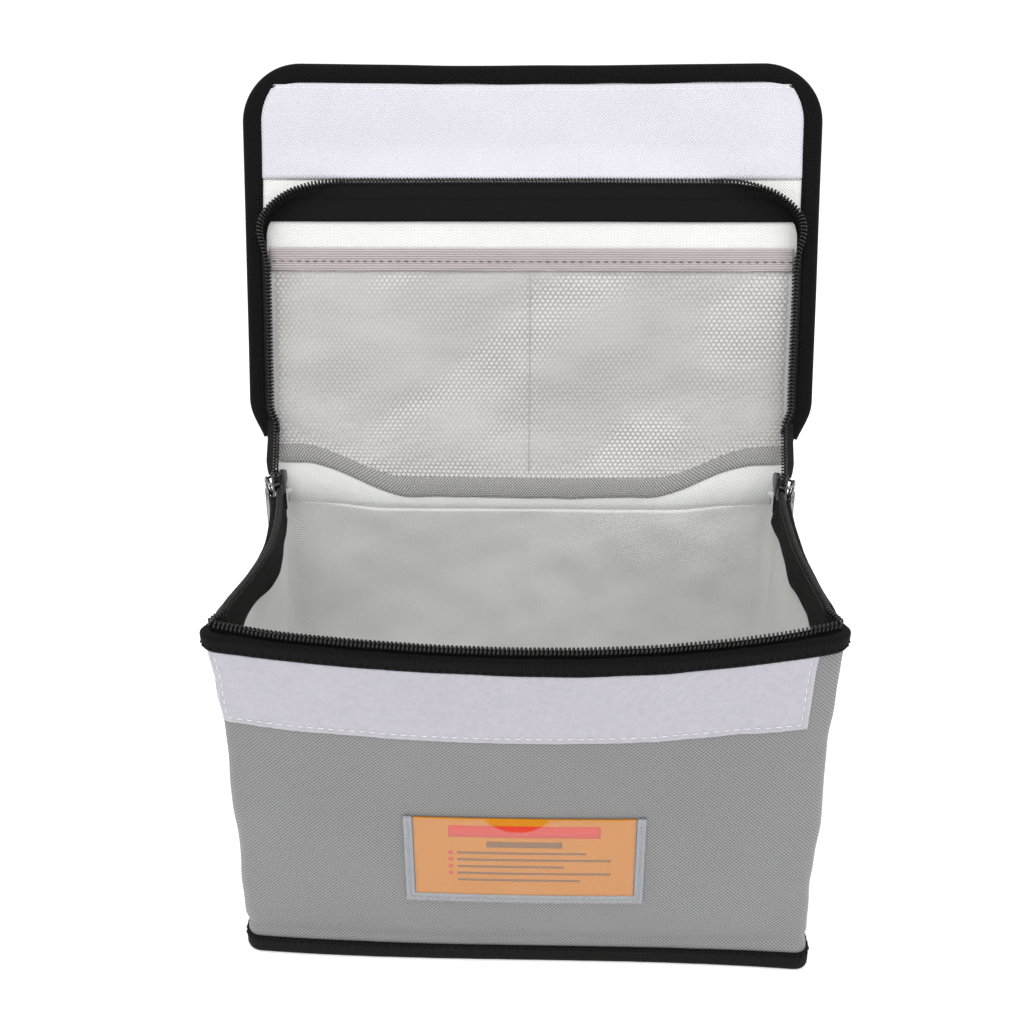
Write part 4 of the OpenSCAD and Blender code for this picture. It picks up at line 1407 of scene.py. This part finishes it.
def slider(side, word):
    """One zipper slider: two plates with lips, a wedge between them and a bridge for the pull."""
    low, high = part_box("slider_right")
    half_h = (high.z - low.z) / 2
    length = high.y - low.y
    outline = slider_outline(length, half_h, half_h * 0.62)
    inner, outer = COIL_X - 2.1 * MM, COIL_X + 1.1 * MM
    parts = [plate("plate_inner", outline, inner, inner + 1 * MM, 0.25 * MM, METAL),
             plate("plate_outer", outline, outer, outer + 1.2 * MM, 0.35 * MM, METAL)]
    edge = np.array(outline)
    middle = edge.mean(0)
    keep = np.abs(edge[:, 1] - PIVOT[2]) > half_h * 0.6
    for sign in (1, -1):
        lip = edge[keep & ((edge[:, 1] - PIVOT[2]) * sign > 0)]
        lip = lip + unit(middle - lip) * 0.45 * MM
        lip = lip[np.argsort(lip[:, 0])]
        for x in (inner + 1.15 * MM, outer - 0.15 * MM):
            path = np.concatenate([np.full((len(lip), 1), x), lip], axis=1)
            rings = tube(path, 0.42 * MM, 8)
            parts.append(sweep("lip", rings, np.arange(len(path)) * MM, np.arange(8) * MM, METAL))
    wedge_y = SLIDER_Y - length / 2 + 0.8 * MM
    wedge = [(wedge_y, PIVOT[2] + 0.8 * MM), (wedge_y + 3.6 * MM, PIVOT[2] + 0.2 * MM),
             (wedge_y + 3.6 * MM, PIVOT[2] - 0.2 * MM), (wedge_y, PIVOT[2] - 0.8 * MM)]
    parts.append(plate("wedge", wedge, inner + 0.8 * MM, outer + 0.2 * MM, 0.05 * MM, METAL))
    rise = high.x - outer - 1.2 * MM
    share = np.linspace(0, 1, 24)
    arch_x = outer + 0.9 * MM + rise * np.sin(share * math.pi) ** 0.55
    arch_y = SLIDER_Y - 4.4 * MM + 8.8 * MM * share
    rings = tube(np.stack([arch_x, arch_y, np.full(24, PIVOT[2])], axis=1), 0.55 * MM, 10)
    parts.append(sweep("bridge", rings, np.arange(24) * MM, np.arange(10) * MM, METAL))
    join("zip_slider_" + word, parts, side, "slider_" + word[0], "slider_" + word)


def pull(side, word):
    """One pull: a wire ring through the slider's bridge and a hanging tab with a raised rim."""
    low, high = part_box("pull_right")
    x = PIVOT[0] + 0.45 * MM
    half_w = (high.y - low.y) / 2
    ring_low, ring_high = PIVOT[2] - 6.2 * MM, PIVOT[2] + 0.9 * MM
    neck_w = half_w * 0.62
    turn = np.linspace(0, 2 * math.pi, 28, endpoint=False)
    ring_x = x - 0.7 * MM + 0.7 * MM * np.sin(turn)
    ring_z = (ring_high + ring_low) / 2 + (ring_high - ring_low) / 2 * np.sin(turn)
    ring = np.stack([ring_x, SLIDER_Y + neck_w * np.cos(turn), ring_z], axis=1)
    parts = [closed_tube("ring", ring, 0.55 * MM, METAL)]
    head, foot = PIVOT[2] - 4.6 * MM, low.z + 0.6 * MM
    outline = []
    for a in np.linspace(0, math.pi, 12):
        outline.append((SLIDER_Y + neck_w * math.cos(a), head - 1 * MM + 1.4 * MM * math.sin(a)))
    for a in np.linspace(math.pi, 2 * math.pi, 14):
        outline.append((SLIDER_Y + (half_w - 0.6 * MM) * math.cos(a), foot + 2.4 * MM * (1 + math.sin(a))))
    rim, _ = resample(np.array([(x, y, z) for y, z in outline + outline[:1]]), 0.7 * MM)
    parts.append(closed_tube("rim", rim[:-1], 0.6 * MM, METAL))
    face = [(y, z) for y, z in outline if z < head - 5 * MM]
    face_w, face_top = half_w * 0.75, head - 4.6 * MM
    face = [(SLIDER_Y - face_w, face_top)] + face + [(SLIDER_Y + face_w, face_top)]
    parts.append(plate("face", face, x - 0.35 * MM, x + 0.35 * MM, 0.1 * MM, METAL))
    # The tab hangs turned a little towards the front
    axis = Matrix.Translation((x, SLIDER_Y, 0))
    turned = axis @ Matrix.Rotation(math.radians(-24), 4, "Z") @ axis.inverted()
    for part in parts[1:]:
        part.data.transform(turned)
    join("zip_pull_" + word, parts, side, "pull_" + word[0], "pull_" + word)


def join(name, parts, side, body, node):
    """Joins parts into one piece, mirrored for the left side, riding its body."""
    verts, faces, offset = [], [], 0
    for part in parts:
        mesh = part.data
        verts += [(v.co.x * side, v.co.y, v.co.z) for v in mesh.vertices]
        faces += [[offset + k for k in face.vertices][::side] for face in mesh.polygons]
        offset += len(mesh.vertices)
        bpy.data.objects.remove(part)
    piece = make_piece(name, np.array(verts), faces, METAL)
    fasten(piece, body, "zipper_metal", node)


# ---------- build ----------

box_cloth()
floor_cloth("floor_outer_cloth", 0.1 * MM, 0.65 * MM, OUTER_T, OUTER, "bottom_panel", "outer_fabric")
floor_cloth("floor_lining", WALL_T + 0.05 * MM, OUTER_T + 0.02 * MM, WALL_T, LINING, "bottom_lining",
            "lining")
bindings()
body_zipper()
loop_patch()
pocket_edge()
pocket_window()
label_card()
hinge_cloth()
cover_cloths()
cover_binding()
hook_band()
hinge_zipper(*cover_zipper())
pocket_net()
pocket_trim()
handle()
for side, word in ((1, "right"), (-1, "left")):
    slider(side, word)
    pull(side, word)

# ---------- studio ----------


CAMERA_LENS = 43.17                            # all four fitted to the photograph: millimetres,
CAMERA_PLACE = (0.00508, -0.40749, 0.36842)    # metres,
CAMERA_YAW, CAMERA_PITCH, CAMERA_ROLL = -1.504, 26.551, -0.252    # and degrees


def camera():
    """The photograph's camera."""
    data = bpy.data.cameras.new("photo_camera")
    data.lens = CAMERA_LENS
    data.sensor_width = 36
    data.clip_start = 0.01
    seen = bpy.data.objects.new("photo_camera", data)
    bpy.context.scene.collection.objects.link(seen)
    yaw, pitch, roll = (math.radians(angle) for angle in (CAMERA_YAW, CAMERA_PITCH, CAMERA_ROLL))
    forward = Vector((math.sin(yaw) * math.cos(pitch), math.cos(yaw) * math.cos(pitch), -math.sin(pitch)))
    right = Vector((math.cos(yaw), -math.sin(yaw), 0))
    up = right.cross(forward)
    right, up = right * math.cos(roll) + up * math.sin(roll), up * math.cos(roll) - right * math.sin(roll)
    turn = Matrix((right, up, -forward)).transposed().to_4x4()
    seen.matrix_world = Matrix.Translation(CAMERA_PLACE) @ turn
    bpy.context.scene.camera = seen


def area_light(name, place, aim, size, power):
    """A large soft lamp."""
    data = bpy.data.lights.new(name, "AREA")
    data.shape = "DISK"
    data.size = size
    data.energy = power
    lamp = bpy.data.objects.new(name, data)
    lamp.location = place
    lamp.rotation_euler = (Vector(aim) - Vector(place)).to_track_quat("-Z", "Y").to_euler()
    bpy.context.scene.collection.objects.link(lamp)


def floor():
    """A pale floor that fades into the background."""
    s = Surface("studio_floor", 0.7)
    s.colour(s.mix(s.noise(0.3, 2, on_cloth=False), (0.93, 0.93, 0.93), (0.97, 0.97, 0.97)))
    s.shader.inputs["Emission Color"].default_value = (1, 1, 1, 1)
    s.shader.inputs["Emission Strength"].default_value = 0.25
    half = 14.0
    verts = [(-half, -half, 0), (half, -half, 0), (half, half, 0), (-half, half, 0)]
    uvs = [(x, y) for x, y, _ in verts]
    ground = make_piece("studio_floor", np.array(verts) - (0, 0, 0.0004), [[0, 1, 2, 3]], s.material, uvs)


def backdrop():
    """An even white surrounding."""
    world = bpy.data.worlds.new("studio")
    bpy.context.scene.world = world
    world.use_nodes = True
    background = world.node_tree.nodes["Background"]
    background.inputs["Color"].default_value = (1, 1, 1, 1)
    background.inputs["Strength"].default_value = 0.85


camera()
floor()
backdrop()
area_light("key", (-0.3, -0.75, 1.35), (0, 0, 0.12), 0.9, 7.5)
area_light("fill", (0.6, -0.5, 1.15), (0, 0, 0.12), 0.9, 3)
area_light("top", (0, -0.1, 1.4), (0, 0, 0.1), 0.8, 3)
bpy.context.scene.view_settings.view_transform = "Standard"
